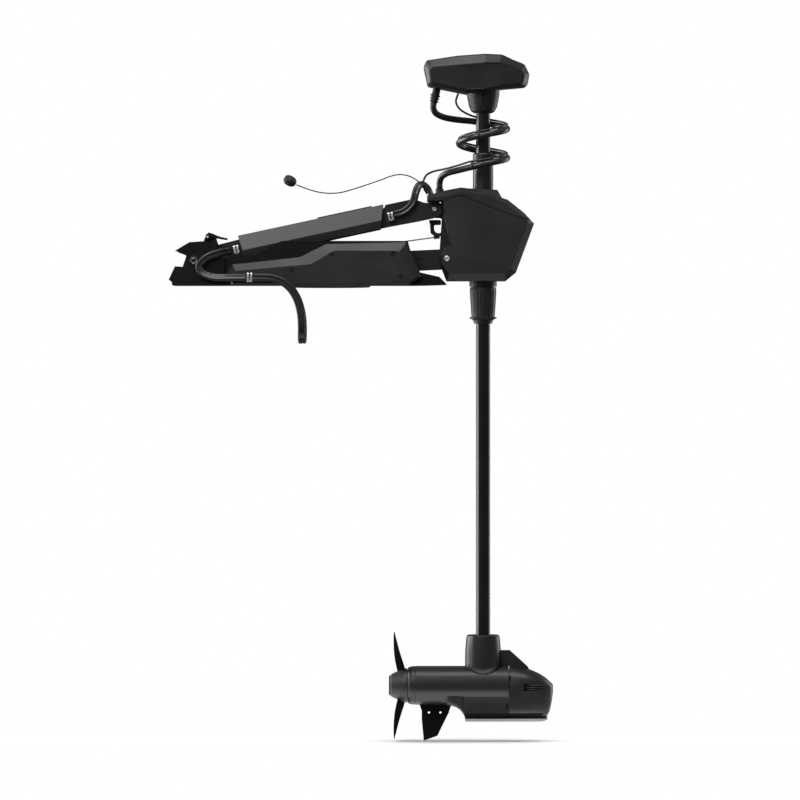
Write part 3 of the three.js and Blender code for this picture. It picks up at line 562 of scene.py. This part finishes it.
POWER_TAIL = [(17, 242, 12.6), (30, 245.5, 13.2), (44, 242.5, 14), (55, 234, 15), (61, 224, 15.4),
              (62, 215.4, 15.5)]


def smoothstep(t):
    t = min(1.0, max(0.0, t))
    return t * t * (3 - 2 * t)


def coil_turns(rise):
    """Turns round the shaft, winding down clockwise seen from above."""
    points = []
    for i in range(round(COIL["turns"] * 12) + 1):
        share = i / 12
        a = math.pi / 2 - share * 2 * math.pi
        z = COIL["top"] - share * COIL["pitch"] + rise
        points.append((SHAFT_X / MM + COIL["radius"] * math.cos(a), COIL["radius"] * math.sin(a), z))
    return points


def store_turns():
    """The spare cable's turns on the deck: the second turn climbs onto the first."""
    points = []
    steps = 14 * STORE["turns"]
    for i in range(steps + 1):
        travel = 360 * STORE["turns"] * i / steps
        a = math.radians(STORE["first"] - travel)
        z = STRAND + 0.3 + (2 * STRAND + 0.05) * smoothstep((travel - 290) / 60)
        x = STORE["x"] + STORE["radius"] * math.cos(a)
        y = STORE["y"] + STORE["radius"] * math.sin(a)
        points.append((x, y, z))
    return points


def blended_run(name, node, line, section, side, cuts, rides):
    """One cable cut into pieces at the given heights in mm, one piece for each pair in rides; the pieces are
    not attached to any body.
    """
    rings = sweep_rings(line, section, side)
    heights = line[:, 2]
    edges = [len(line) - 1] + [int(np.argmin(abs(heights - c))) for c in cuts] + [0]
    for k, (first, second) in enumerate(rides):
        part = rings[edges[k + 1]:edges[k] + 1]
        ob = layered(f"{name}_{k + 1}", part, "cable_jacket")
        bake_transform(ob)
        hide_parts(node)


def make_head_cables():
    rides = [("steering_housing", "turn_bearings"), ("turn_bearings", "steering_column"),
             ("steering_column", "shaft_assembly")]
    bottom = COIL["top"] - COIL["turns"] * COIL["pitch"]
    half_turn = bottom + COIL["pitch"] / 2
    conduit = even(catmull(CONDUIT_IN + coil_turns(0) + CONDUIT_OUT), 3)
    lead = even(catmull(LEAD_IN + coil_turns(LEAD_RISE) + LEAD_OUT), 3)
    sleeve = round_section(CONDUIT_RADIUS)
    blended_run("conduit_sleeve", "coil_conduit", conduit, sleeve, (0, 1, 0), (bottom, half_turn), rides)
    jacket = round_section(LEAD_RADIUS, 12)
    cuts = (bottom + LEAD_RISE, half_turn + LEAD_RISE)
    blended_run("sensor_lead_jacket", "sensor_lead", lead, jacket, (0, 1, 0), cuts, rides)
    low_tie, tie_rise = TIE_HEIGHTS
    tie_at("cable_tie_1", conduit, low_tie)
    tie_at("cable_tie_2", conduit, half_turn + tie_rise)


def tie_at(name, line, height):
    """A zip tie round the conduit and the lead above it."""
    i = int(np.argmin(abs(line[:, 2] - height)))
    t = line[i + 1] - line[i - 1]
    t /= np.linalg.norm(t)
    short = np.array([line[i] + t * s for s in (-2.4, -2.2, 2.2, 2.4)])
    sides = 28
    oval = []
    for k in range(sides):
        a = 2 * math.pi * k / sides
        oval.append((7.9 * math.cos(a), 2.6 + (10.4 if math.sin(a) > 0 else 10.2) * math.sin(a)))
    inset = [(u * 0.97, v * 0.97) for u, v in oval]
    side = np.cross(t, (0, 0, 1))
    length = np.linalg.norm(side)
    up = np.cross(side / length, t)
    rings = []
    for point, section in zip(short, (inset, oval, oval, inset)):
        rings.append([(point + u * side / length + v * up) * MM for u, v in section])
    ob = layered(name, rings, "rubber")
    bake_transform(ob)


def make_harnesses():
    section = twin_section(STRAND)
    front = even(catmull(HARNESS_FRONT), 3)
    ob = layered("harness_front_twin", sweep_rings(front, section, (0, 0, 1)), "cable_jacket")
    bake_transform(ob)
    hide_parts("harness_front")
    rear = even(catmull(HARNESS_REAR), 3)
    ob = layered("harness_rear_twin", sweep_rings(rear, section, (0, 0, 1)), "cable_jacket")
    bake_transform(ob)
    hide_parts("harness_rear")


def make_power_cable():
    line = even(catmull(POWER_CABLE + store_turns() + POWER_TAIL), 3)
    ob = layered("power_cable_twin", sweep_rings(line, twin_section(STRAND), (0, 0, 1)), "cable_jacket")
    stand_for(ob, "power_cable", "power_cable_coil", "power_cable_tail")
    plug = refined("power_plug", width=1.2)


def make_pull_cord():
    line = even(catmull(PULL_CORD), 2)
    rings = sweep_rings(line, round_section(PULL_RADIUS, 12), (0, 1, 0))
    ob = layered("pull_cord_line", rings, "cable_jacket")
    stand_for(ob, "pull_cord")
    handle = refined("pull_handle", voxel=0.8, rounds=6)


# ---- base -----------------------------------------------------------------------------------
COVER_EDGE = [(-159.7, 25.1), (-147.4, 45.3), (-118.4, 47.5), (0.7, 60.9), (57.2, 89.3), (229.7, 93.5),
              (233.9, 89.3), (267.5, 17.8), (238, 0.4), (-150, 0.4)]
COVER_FACE = [(-152, 20), (-140.8, 30.4), (-118, 32.5), (23.3, 45.1), (76, 74.6), (213, 74.6), (219, 70),
              (252, 15), (233, 3), (-146, 3)]
COVER_SCREWS = [(69.7, 66.2), (203.5, 67.1), (-17.8, 32.6), (-128, 17), (222, 18)]


def screw(name, at, side, slot="black_alloy", radius=4.0, body="base"):
    """A cap screw with a socket, its head towards the given side of Y."""
    profile = [(0.01, 1.0), (radius * 0.45, 1.0), (radius * 0.5, 3.0), (radius * 0.9, 3.0), (radius, 2.4),
               (radius, 0), (0.01, 0)]
    turned = [(r, side * t) for r, t in profile]
    ob = lathe(name, turned, "y", at, slot, sides=32)
    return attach(soften_edges(ob, 0.25, 2), body)


def make_covers():
    for side, name in ((-1, "starboard"), (1, "port")):
        inner, shoulder, face = 70.35 * side, 76 * side, 90 * side
        rings = [y_ring(COVER_EDGE, inner), y_ring(COVER_EDGE, shoulder), y_ring(COVER_FACE, face)]
        ob = layered(f"side_cover_{name}_shell", rings, "cover_plastic")
        cutters = []
        for x, z in COVER_SCREWS:
            at = Vector((x, face, z)) * MM
            cutters.append(lathe("cutter", [(5, -4), (5, 4)], "y", at, "rubber", sides=32))
        carved(ob, cutters)
        stand_for(soften_edges(ob, 1.2), f"side_cover_{name}")
        for k, (x, z) in enumerate(COVER_SCREWS):
            screw(f"cover_screw_{name}_{k + 1}", Vector((x, face - 3.8 * side, z)) * MM, side)


STRAP = {"u": 10.2, "t": 5.9, "thick": 1.1, "width": 4.6, "spread": 3.6}


def strap_ring(half_u, half_t, corner=3.5, steps=5):
    out = []
    for cu, ct, first in ((1, 1, 0), (-1, 1, 90), (-1, -1, 180), (1, -1, 270)):
        for i in range(steps + 1):
            a = math.radians(first + 90 * i / steps)
            u = cu * (half_u - corner) + corner * math.cos(a)
            t = ct * (half_t - corner) + corner * math.sin(a)
            out.append((u, t))
    return out


def make_clamp(node, at, along, up, body):
    """Two steel bands round a flat cable, each with a small screw, and a foot behind them."""
    outer = strap_ring(STRAP["u"], STRAP["t"])
    inner = strap_ring(STRAP["u"] - STRAP["thick"], STRAP["t"] - STRAP["thick"], corner=2.6)
    side = Vector((0, 1, 0))
    half = STRAP["width"] / 2
    for k, offset in enumerate((-STRAP["spread"], STRAP["spread"])):
        rings = []
        for section, shift in ((outer, -half), (outer, half), (inner, half), (inner, -half)):
            rings.append([(at + along * (offset + shift) + up * u + side * t) * MM for u, t in section])
        band = looped(f"{node}_band_{k + 1}", rings, "stainless")
        soften_edges(band, 0.25, 2)
        if k == 0:
            stand_for(band, node)
        else:
            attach(band, body)
        head = at + along * offset - side * STRAP["t"] + up * 2
        screw(f"{node}_screw_{k + 1}", (head + side * 0.1) * MM, -1, "stainless", 1.5, body)
    foot = []
    for t in (STRAP["t"] - 0.6, 6.8):
        corners = ((-6.5, -10.2), (6.5, -10.2), (6.5, -6.5), (-6.5, -6.5))
        foot.append([(at + along * a + up * u + side * t) * MM for a, u in corners])
    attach(layered(f"{node}_foot", foot, "stainless"), body)


AXLE_CAP = [(0.01, 34.5), (8.1, 34.5), (8.1, 79), (10.4, 79), (10.4, 80), (9.8, 80.5), (6.4, 80.5),
            (6.2, 79.6), (5.2, 79.6), (5, 80.5), (3.2, 80.5), (2.8, 78.6), (0.01, 78.6)]
AXLE_RING = [(5.25, 79.7), (6.15, 79.7), (6.15, 80.6), (5.9, 80.75), (5.5, 80.75), (5.25, 80.6)]


def make_stow_axles():
    """A black cap with a thin bright ring in it at each end of the stow axle."""
    at = (STOW_PIVOT.x, 0, STOW_PIVOT.z)
    for side, name in ((-1, "starboard"), (1, "port")):
        node = f"stow_axle_{name}"
        cap = [(r, side * t) for r, t in AXLE_CAP]
        ob = lathe(f"{node}_cap", cap, "y", at, "black_alloy", 64)
        stand_for(soften_edges(ob, 0.25, 2), node)
        ring = [(r, side * t) for r, t in AXLE_RING]
        ob = lathe(f"{node}_ring", ring, "y", at, "stainless", 64, closed=True)
        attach(ob, body_of_node(node))


def make_shade_plates():
    """Black plates inside the base channel's walls that paint the shade there, and a strip that closes the
    joint to the bow ramp.
    """
    for side, name in ((-1, "starboard"), (1, "port")):
        y0, y1 = sorted((63.2 * side, 64.8 * side))
        # black plates: painted shade inside the base channel
        panel(f"channel_liner_{name}", block(-150, -84, y0, y1, 30, 68), "base")
    panel("ramp_joint_strip", block(256, 268, -60, 60, 0.6, 15.5), "base")


def panel(name, ob, body):
    """Turns a plain block into a dark base_black panel with softened edges, used for the painted shade plates
    and the ramp joint strip.
    """
    ob.name = name
    ob.data.materials[0] = MATERIALS["base_black"]
    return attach(soften_edges(ob, 0.5, 2), body)


def make_base():
    make_covers()
    make_stow_axles()
    make_shade_plates()
    for node in ("base_channel", "stern_bracket", "bow_ramp", "lock_lever"):
        refined(node, width=0.9, finish="base_black")
    at = Vector((LEVER_PIVOT.x / MM, -87.4, LEVER_PIVOT.z / MM))
    screw("lever_pin", at * MM, -1, "stainless", 2.4, "lock_lever")
    make_clamp("base_clamp", Vector((-109.3, -97, 16.3)), Vector((1, 0, 0)), Vector((0, 0, 1)), "base")


# ---- arms -----------------------------------------------------------------------------------
ARM_DIRECTION = (ARM_PIVOT - STOW_PIVOT).normalized()
ARM_UP = Vector((-ARM_DIRECTION.z, 0, ARM_DIRECTION.x))
COVER_OUTER = [(-55, -17), (-61, 0), (-47, 34), (47, 34), (61, 0), (55, -17)]
COVER_INNER = [(52, -17), (58, 0), (45, 31), (-45, 31), (-58, 0), (-52, -17)]
SPACER_SHARE = 0.8783  # how far along the lower arm the spacer in its front hole sits
SPACER = [(0.01, -26), (3.9, -26), (3.9, 26), (0.01, 26)]
ARM_CLAMPS = [("arm_clamp_rear", 95, 4.6), ("arm_clamp_front", 441, 4)]


def on_arm(s, y, n):
    return STOW_PIVOT + (ARM_DIRECTION * s + ARM_UP * n + Vector((0, y, 0))) * MM


def make_arms():
    section = COVER_OUTER + COVER_INNER
    rear = [on_arm(108.3 - 0.11 * n, y, n) for y, n in section]
    front = [on_arm(419.5 + 0.33 * n, y, n) for y, n in section]
    cover = layered("arm_cover_skin", [rear, front], "arm_paint")
    stand_for(soften_edges(cover, 1.0), "arm_cover")
    for node in ("upper_arm", "lower_arm"):
        refined(node, width=0.9)
    refined("arm_bumper", width=0.4)
    at = LINK_REAR.lerp(Vector((LINK_PIVOT.x, 0, LINK_PIVOT.z)), SPACER_SHARE)
    spacer = lathe("lower_arm_spacer", SPACER, "y", at, "black_alloy", 32)
    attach(soften_edges(spacer, 0.3, 2), "lower_arm")
    for node, s, n in ARM_CLAMPS:
        make_clamp(node, on_arm(s, -49, n) / MM, ARM_DIRECTION, ARM_UP, "upper_arm")
    make_link_bolts()


def make_link_bolts():
    """The two pivot bolts: a plain shank and socket heads on both sides."""
    for node, at, shank, grip, head in (("upper_link_bolt", ARM_PIVOT, 4, 42.35, 5.2),
                                        ("lower_link_bolt", LINK_PIVOT, 4, 68.35, 6.2)):
        half = [(shank, 0), (shank, grip), (head, grip), (head, grip + 2.4), (head - 0.9, grip + 3.1),
                (head * 0.5, grip + 3.1), (head * 0.45, grip + 1.2), (0.01, grip + 1.2)]
        profile = [(r, -t) for r, t in reversed(half)] + half[1:]
        ob = lathe(node + "_fine", profile, "y", (at.x, 0, at.z), "stainless", 48)
        stand_for(soften_edges(ob, 0.25, 2), node)


# ---- steering housing and column ------------------------------------------------------------
def collar_radius(k, r, a):
    """Pairs of narrow grooves round the grip."""
    pair = (a * 12 / (2 * math.pi)) % 1
    near = min(abs(pair - 0.34), abs(pair - 0.66))
    depth = 1.1 * max(0.0, 1 - near / 0.09)
    return r - depth if 6 <= k <= 9 else r


SHELL_EDGE = [(309, 183.9), (312.4, 186.1), (352.4, 196.1), (364.3, 192.6), (400, 177), (476.4, 148.3),
              (506.2, 141.4), (512.8, 134.9), (473, 27.5), (451.4, 9.7), (321.4, 9.7), (314.4, 27.5),
              (307.1, 46.6), (307.1, 65.6), (316.8, 82.5), (328.7, 87.1), (314.4, 146.7), (312.5, 176)]
SHELL_FACE = [(313, 184.4), (315, 186.4), (352.4, 195.8), (364.3, 192.3), (400, 176.7), (476.4, 148),
              (497, 142.8), (498.5, 134), (462, 36), (448, 25.3), (327, 25.3), (319, 33), (311.5, 48),
              (311.5, 64), (320, 79), (333, 83.5), (318.4, 147), (316.5, 176)]
TOP_EDGE = [(278.5, 184.7), (278.5, 196.9), (319, 207.7), (352.4, 214.1), (366.7, 212.3), (432.3, 208.8),
            (442, 191.6), (455, 187.2), (490.8, 158.6), (505.6, 142.6), (476.4, 149), (400, 177.7),
            (364.3, 193.3), (352.4, 196.8), (312.4, 186.8), (306, 184.5)]
TOP_FACE = [(281.5, 184.9), (281.5, 191), (319, 196.5), (352.4, 204), (367, 201), (422, 196), (434, 185.5),
            (448, 180), (482, 153.5), (497, 144.4), (476.4, 149.2), (400, 177.9), (364.3, 193.5),
            (352.4, 197), (312.4, 187), (306, 184.7)]
HOUSING_INSIDE = [(322, 190), (353, 203), (428, 198), (437, 183), (450, 176), (484, 148), (500, 131),
                  (465, 36), (447, 17), (325, 17), (318, 50), (332, 85), (318, 146)]
HOUSING_Y = 68
SHOULDER_Y = 53
HOUSING_BORE = 23.6


def housing_rooms():
    """The hollow, the shaft's way through, and the room between the shells for the arms."""
    shaft = (SHAFT_X / MM, 0, 0)
    return [prism(HOUSING_INSIDE, -49, 49), bore("z", HOUSING_BORE, 0, 260, shaft),
            block(280, 348, -43, 43, -5, 181)]


def make_shells():
    """Two shells bored for the lower link bolt, and the top cover with gland, harness and button holes."""
    for side, name in ((-1, "starboard"), (1, "port")):
        rings = [y_ring(SHELL_EDGE, 0.2 * side), y_ring(SHELL_EDGE, SHOULDER_Y * side),
                 y_ring(SHELL_FACE, HOUSING_Y * side)]
        ob = layered(f"housing_shell_{name}_fine", rings, "cover_plastic")
        carved(ob, housing_rooms() + [bore("y", 4.3, -80, 80, (LINK_PIVOT.x / MM, 0, LINK_PIVOT.z / MM))])
        stand_for(soften_edges(ob, 1.6, 4, 12), f"housing_shell_{name}")
    rings = [y_ring(TOP_FACE, -HOUSING_Y), y_ring(TOP_EDGE, -SHOULDER_Y + 4),
             y_ring(TOP_EDGE, SHOULDER_Y - 4), y_ring(TOP_FACE, HOUSING_Y)]
    ob = layered("housing_top_fine", rings, "cover_plastic")
    holes = [bore("z", 9.4, 180, 240, (306, 0, 0)), bore("z", 10.4, 170, 230, (287, -30, 0)),
             bore("y", 6.3, -80, -60, (398, 0, 186.5))]
    carved(ob, housing_rooms() + holes)
    stand_for(soften_edges(ob, 1.6, 4, 12), "housing_top_cover")


def make_collar():
    profile = [(22, -76.8), (22.7, -76.8), (23.4, -75), (29.9, -72.4), (29.9, -69.5), (25.4, -68.6),
               (26.2, -63), (27.4, -44), (28.6, -26), (29.3, -14), (29.3, -8), (27.9, -3.3), (23.3, -3.3),
               (22, -30)]
    collar = lathe("depth_collar_grip", profile, "z", (SHAFT_X, 0, 0), "cover_plastic", sides=288,
                   closed=True, shape=collar_radius)
    stand_for(soften_edges(collar, 0.4, 2, angle=40), "depth_collar")


def make_housing():
    make_shells()
    make_collar()
    for node in ("link_bracket", "latch_hook", "bottom_flange"):
        refined(node, width=0.6)
    for node in ("coil_gland", "power_button", "steering_tube", "shaft_collet"):
        refined(node, width=0.5)
    refined("release_rod", width=0.5, finish="zinc_wire")
    refined("shaft", width=0.5)
    for node in ("bearing_lower", "bearing_upper", "steering_rotor", "steering_stator", "control_board"):
        dress(node)


# ---- head -----------------------------------------------------------------------------------
HEAD_EDGE = [(270.6, 479.4), (277.2, 493), (344.5, 503.1), (405.2, 507.5), (443.3, 506.4), (468.2, 495.2),
             (492.8, 486.2), (504, 463.8), (499.6, 441.3), (492.8, 434.9), (440, 431.2), (400, 424),
             (364.8, 421.1), (315.5, 431.2), (286.2, 437), (279.5, 439.1)]
HEAD_FACE = [(282, 472), (286.5, 479), (344.5, 482.5), (405.2, 486), (438, 487), (460, 483), (482, 474.5),
             (492, 461), (489.5, 447), (484, 441), (440, 436.5), (400, 430), (364.8, 427), (315.5, 436.5),
             (291, 442), (285, 447.5)]
HEAD_Y = 62
NECK = [(15.9, 379), (20, 379), (26, 383), (31, 393), (34, 408), (36, 420), (36.4, 431), (15.9, 431)]
GLAND = [(0.01, 402), (7.6, 402), (7.6, 404), (9.6, 404.6), (9.6, 407.4), (7.8, 408), (7.8, 410),
         (10.4, 410.6), (10.4, 413.4), (8.2, 414), (8.2, 416), (10.9, 416.6), (10.9, 419.6), (8.6, 420.4),
         (8.6, 440), (0.01, 440)]
GLAND_FOOT = Vector((0.293, 0, 0.402))
GLAND_TILT = 13


def head_half(x):
    """Half of the head's width: straight, then drawn in towards the nose."""
    if x > 415:
        return HEAD_Y - 38 * (x - 415) / 91
    return HEAD_Y - 7 * max(0.0, (280 - x) / 12)


def head_ring(outline, side, inset):
    return [Vector((x, side * (head_half(x) - inset), z)) * MM for x, z in outline]


def make_head():
    rings = [head_ring(HEAD_FACE, -1, 0), head_ring(HEAD_EDGE, -1, 15), head_ring(HEAD_EDGE, 1, 15),
             head_ring(HEAD_FACE, 1, 0)]
    head = layered("head_fine", rings, "cover_plastic")
    stand_for(soften_edges(head, 4.5, 6, 8), "head_top_shell", "head_bottom_shell")
    neck = lathe("head_neck_fine", NECK, "z", (SHAFT_X, 0, 0), "cover_plastic", 128, closed=True)
    carved(neck, [block(399.8, 403.2, -60, -29, 388, 419)])
    stand_for(soften_edges(neck, 0.6), "head_neck")
    gland = lathe("head_gland_fine", GLAND, "z", (GLAND_FOOT.x, 0, 0), "rubber", 48)
    tilt = Matrix.Rotation(math.radians(GLAND_TILT), 4, "Y")
    gland.data.transform(Matrix.Translation(GLAND_FOOT) @ tilt @ Matrix.Translation(-GLAND_FOOT))
    stand_for(soften_edges(gland, 0.4, 2), "head_gland")
    dress("head_board")


# ---- lower unit -----------------------------------------------------------------------------
MOTOR_BORE = 43.15
BLADE = [  # radius, trailing edge x, leading edge x, half chord across, thickness
    (30, 214, 231.5, 17, 6.0), (45, 210.5, 229, 23, 5.0), (60, 207.5, 224.5, 27, 4.2),
    (75, 205.8, 219.5, 28, 3.5), (90, 205.2, 215, 26, 2.8), (104, 205.4, 211, 20, 2.2),
    (113, 205.8, 208.4, 11, 1.6), (118, 206.2, 206.9, 4, 1.1),
]


def blade_rings(turn):
    rings = []
    stations = catmull([(r, a, b) for r, a, b, _, _ in BLADE], 5)
    sizes = catmull([(r, y, t) for r, _, _, y, t in BLADE], 5)
    for (r, trailing, leading), (_, half, thick) in zip(stations, sizes):
        ring = []
        for i in range(24):
            a = 2 * math.pi * i / 24
            along = math.cos(a)
            bulge = math.sin(a) * thick / 2 * math.sqrt(max(0.0, 1 - 0.82 * along * along))
            camber = 2.2 * (1 - along * along) * half / 28
            x = (trailing + leading) / 2 + along * (leading - trailing) / 2 - camber + bulge
            y = -along * half
            out = math.sqrt(max(1.0, r * r - y * y * 0.6))
            point = Matrix.Rotation(turn, 3, "X") @ Vector((0, y, out))
            ring.append((Vector((x, 0, 0)) + point) * MM + Vector((0, 0, MOTOR_Z)))
        rings.append(ring)
    return rings


def make_propeller():
    hub = [(0.01, 198.9), (23.4, 198.9), (24.8, 200.2), (33, 217), (36.6, 226), (37.8, 231), (37.4, 235.2),
           (35.4, 235.2), (35.4, 230), (6, 230), (6, 229), (0.01, 229)]
    ob = lathe("propeller_hub", hub, "x", (0, 0, MOTOR_Z), "blade_composite")
    ob.data.materials[0] = MATERIALS["hub_composite"]
    stand_for(soften_edges(ob, 0.5, 2), "propeller")
    for k in range(2):
        blade = layered(f"propeller_blade_{k + 1}", blade_rings(math.pi * k), "blade_composite")
        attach(blade, "propeller")
    cap = [(0.01, 194.6), (18.6, 194.6), (21.2, 195.6), (22.4, 197.4), (22.6, 198.6), (0.01, 198.6)]
    stand_for(lathe("prop_nut_fine", cap, "x", (0, 0, MOTOR_Z), "blade_composite"), "prop_nut")


def make_motor():
    """The motor's tube; a boss at its end fills the ring gap behind the propeller's hub."""
    profile = [(10, 230.6), (34.6, 230.6), (34.6, 236), (37.6, 236), (40.2, 238.4), (41.7, 242.4),
               (42, 243.6), (41.3, 244), (41.3, 244.9), (42.1, 245.3), (42.5, 251.4), (41.8, 251.8),
               (41.8, 252.8), (42.8, 253.3), (42.8, 458), (38, 458), (38, 256), (10, 256)]
    motor = lathe("motor_body", profile, "x", (0, 0, MOTOR_Z), "motor_paint", sides=128, closed=True)
    stand_for(soften_edges(motor, 0.3, 2), "motor_housing")


def motor_bore(end=458.5):
    return bore("x", MOTOR_BORE, 200, end, (0, 0, MOTOR_Z / MM))


FIN = [(430, -802), (460.2, -801.9), (499, -837), (503, -843.5), (500, -845), (459.2, -845), (430, -846)]


def make_motor_collar():
    """The collar that holds the shaft, and the fin in front of it."""
    profile = [(16, -768.3), (33.4, -768.3), (36, -770.4), (37, -776), (39.2, -800), (39.7, -826),
               (39.3, -828), (39.7, -830), (39.8, -836.5), (39.2, -841), (37.4, -847), (33.7, -853.4),
               (26, -860), (0.01, -864), (0.01, -830.4), (16, -830.4)]
    collar = lathe("motor_collar_fine", profile, "z", (SHAFT_X, 0, 0), "motor_paint", 128, closed=True)
    carved(collar, [motor_bore(530)])
    stand_for(soften_edges(collar, 0.5, 3), "motor_collar")
    fin = layered("motor_fin", [y_ring(FIN, -3), y_ring(FIN, 3)], "motor_paint")
    carved(fin, [bore("z", 38, -870, -760, (SHAFT_X / MM, 0, 0)), motor_bore(459)])
    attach(soften_edges(fin, 1.2, 3), body_of_node("motor_collar"))


HOOD = [  # place along X, half width, top, bottom, height of the widest level
    (359.4, 41.8, -876, -944, -934), (361.5, 42.2, -876, -949.6, -936), (365, 42.4, -876, -950.2, -937),
    (394, 42.4, -876, -950.2, -937), (430, 42.4, -876, -950.2, -937), (457.8, 42.5, -876, -950.2, -935),
    (459.2, 43, -836.4, -950.2, -890), (473, 43, -838.4, -950.2, -888),
    (490, 42.4, -841, -950.2, -886), (506, 40.6, -844.8, -950.2, -886), (520, 37.4, -850.8, -950.2, -886),
    (531, 33.4, -856.8, -950.2, -886), (541, 27.6, -864, -948.8, -886), (548, 21, -870.6, -935, -886),
    (552.5, 14.6, -874.6, -915, -886), (555.2, 7, -877.4, -896, -886),
]
FAIRING = [  # the same, for the curved run from the motor's underside to the hood
    (321, 37.2, -876, -922.9, -903), (333, 37.8, -876, -924, -906), (342, 38.8, -876, -926.8, -911),
    (349.5, 40, -876, -931.4, -918), (355, 41, -876, -937.4, -926), (359.2, 41.8, -876, -944, -934),
]
HOOD_NOTCHES = [(459.5, -863), (453, -922.5)]
INTAKE = [(490, -873.4), (541, -879), (545, -882.6), (530, -888.2), (490, -890.3)]
RIB_HEIGHTS = (-877.5, -882, -886.5)
SOLE = [  # place along X, half width, top, bottom
    (362, 38, -950.5, -957.6), (366, 40, -950.5, -957.6), (525, 38, -950.5, -957.6),
    (536, 31, -950.5, -956.6), (543, 24, -950.3, -953),
]


def hood_ring(x, half, top, bottom, level, sides=64):
    """Round above its widest level and boxy below it."""
    ring = []
    for i in range(sides):
        a = 2 * math.pi * (i + 0.5) / sides
        power = 1.0 if math.sin(a) > 0 else 0.34
        y = half * math.copysign(abs(math.cos(a)) ** power, math.cos(a))
        reach = (top - level) if math.sin(a) > 0 else (level - bottom)
        z = level + reach * math.copysign(abs(math.sin(a)) ** power, math.sin(a))
        ring.append(Vector((x, y, z)) * MM)
    return ring


def notch(x, z, y0, y1):
    """A cutter for one short slanted groove in the hood's side."""
    return prism([(x - 2, z - 5.5), (x + 1.4, z - 5.5), (x + 3.4, z + 5.5), (x, z + 5.5)], y0, y1)


def make_hood():
    """Nose and sonar hood in one skin, with intake slots and a shadow groove darkened by a black plate of
    painted shade.
    """
    hood = layered("nose_hood_fine", [hood_ring(*row) for row in HOOD], "motor_paint")
    cutters = [motor_bore(), prism(INTAKE, -60, -33), prism(INTAKE, 33, 60)]
    for side in (-1, 1):
        y0, y1 = sorted((30 * side, 60 * side))
        cutters.append(block(350, 533, y0, y1, -949.4, -938.6))
        y0, y1 = sorted((33 * side, 60 * side))
        for x, z in HOOD_NOTCHES:
            cutters.append(notch(x, z, y0, y1))
    carved(hood, cutters)
    stand_for(soften_edges(hood, 0.5, 2, 35), "nose_hood")
    fairing = layered("hood_fairing", [hood_ring(*row) for row in FAIRING], "motor_paint")
    carved(fairing, [motor_bore()])
    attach(fairing, body_of_node("nose_hood"))
    for k, z in enumerate(RIB_HEIGHTS):
        rib = block(491, 538 - 4 * k, -38.5, 38.5, z - 0.6, z + 0.6)
        rib.name = f"intake_rib_{k + 1}"
        rib.data.materials[0] = MATERIALS["motor_paint"]
        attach(rib, body_of_node("nose_hood"))
    # A black plate inside the groove: painted shade that makes the groove read dark.
    panel("hood_groove_painted_shade", block(363, 532, -30.6, 30.6, -949.2, -938.8), body_of_node("nose_hood"))


def sole_ring(x, half, top, bottom):
    """The sole's section: upright edges and a flat bottom with slanted corners."""
    edge = 4.5 if bottom < -957 else 2
    section = [(-half, top), (half, top), (half, top - 2), (half - edge, bottom), (edge - half, bottom),
               (-half, top - 2)]
    return [Vector((x, y, z)) * MM for y, z in section]


def make_sole():
    """The sonar window under the hood; its light grey colour is a painted highlight for light from below."""
    ob = layered("sonar_window", [sole_ring(*row) for row in SOLE], "sonar_face")
    stand_for(soften_edges(ob, 1.0, 3), "sonar_transducer")


def make_lower_unit():
    make_motor()
    make_motor_collar()
    make_hood()
    make_sole()
    refined("skeg", width=1.0)
    make_propeller()
    for node in ("motor_stator", "motor_rotor"):
        dress(node)


make_camera()
make_power_cable()
make_pull_cord()
make_head_cables()
make_harnesses()
make_base()
make_arms()
make_housing()
make_head()
make_lower_unit()
make_studio()
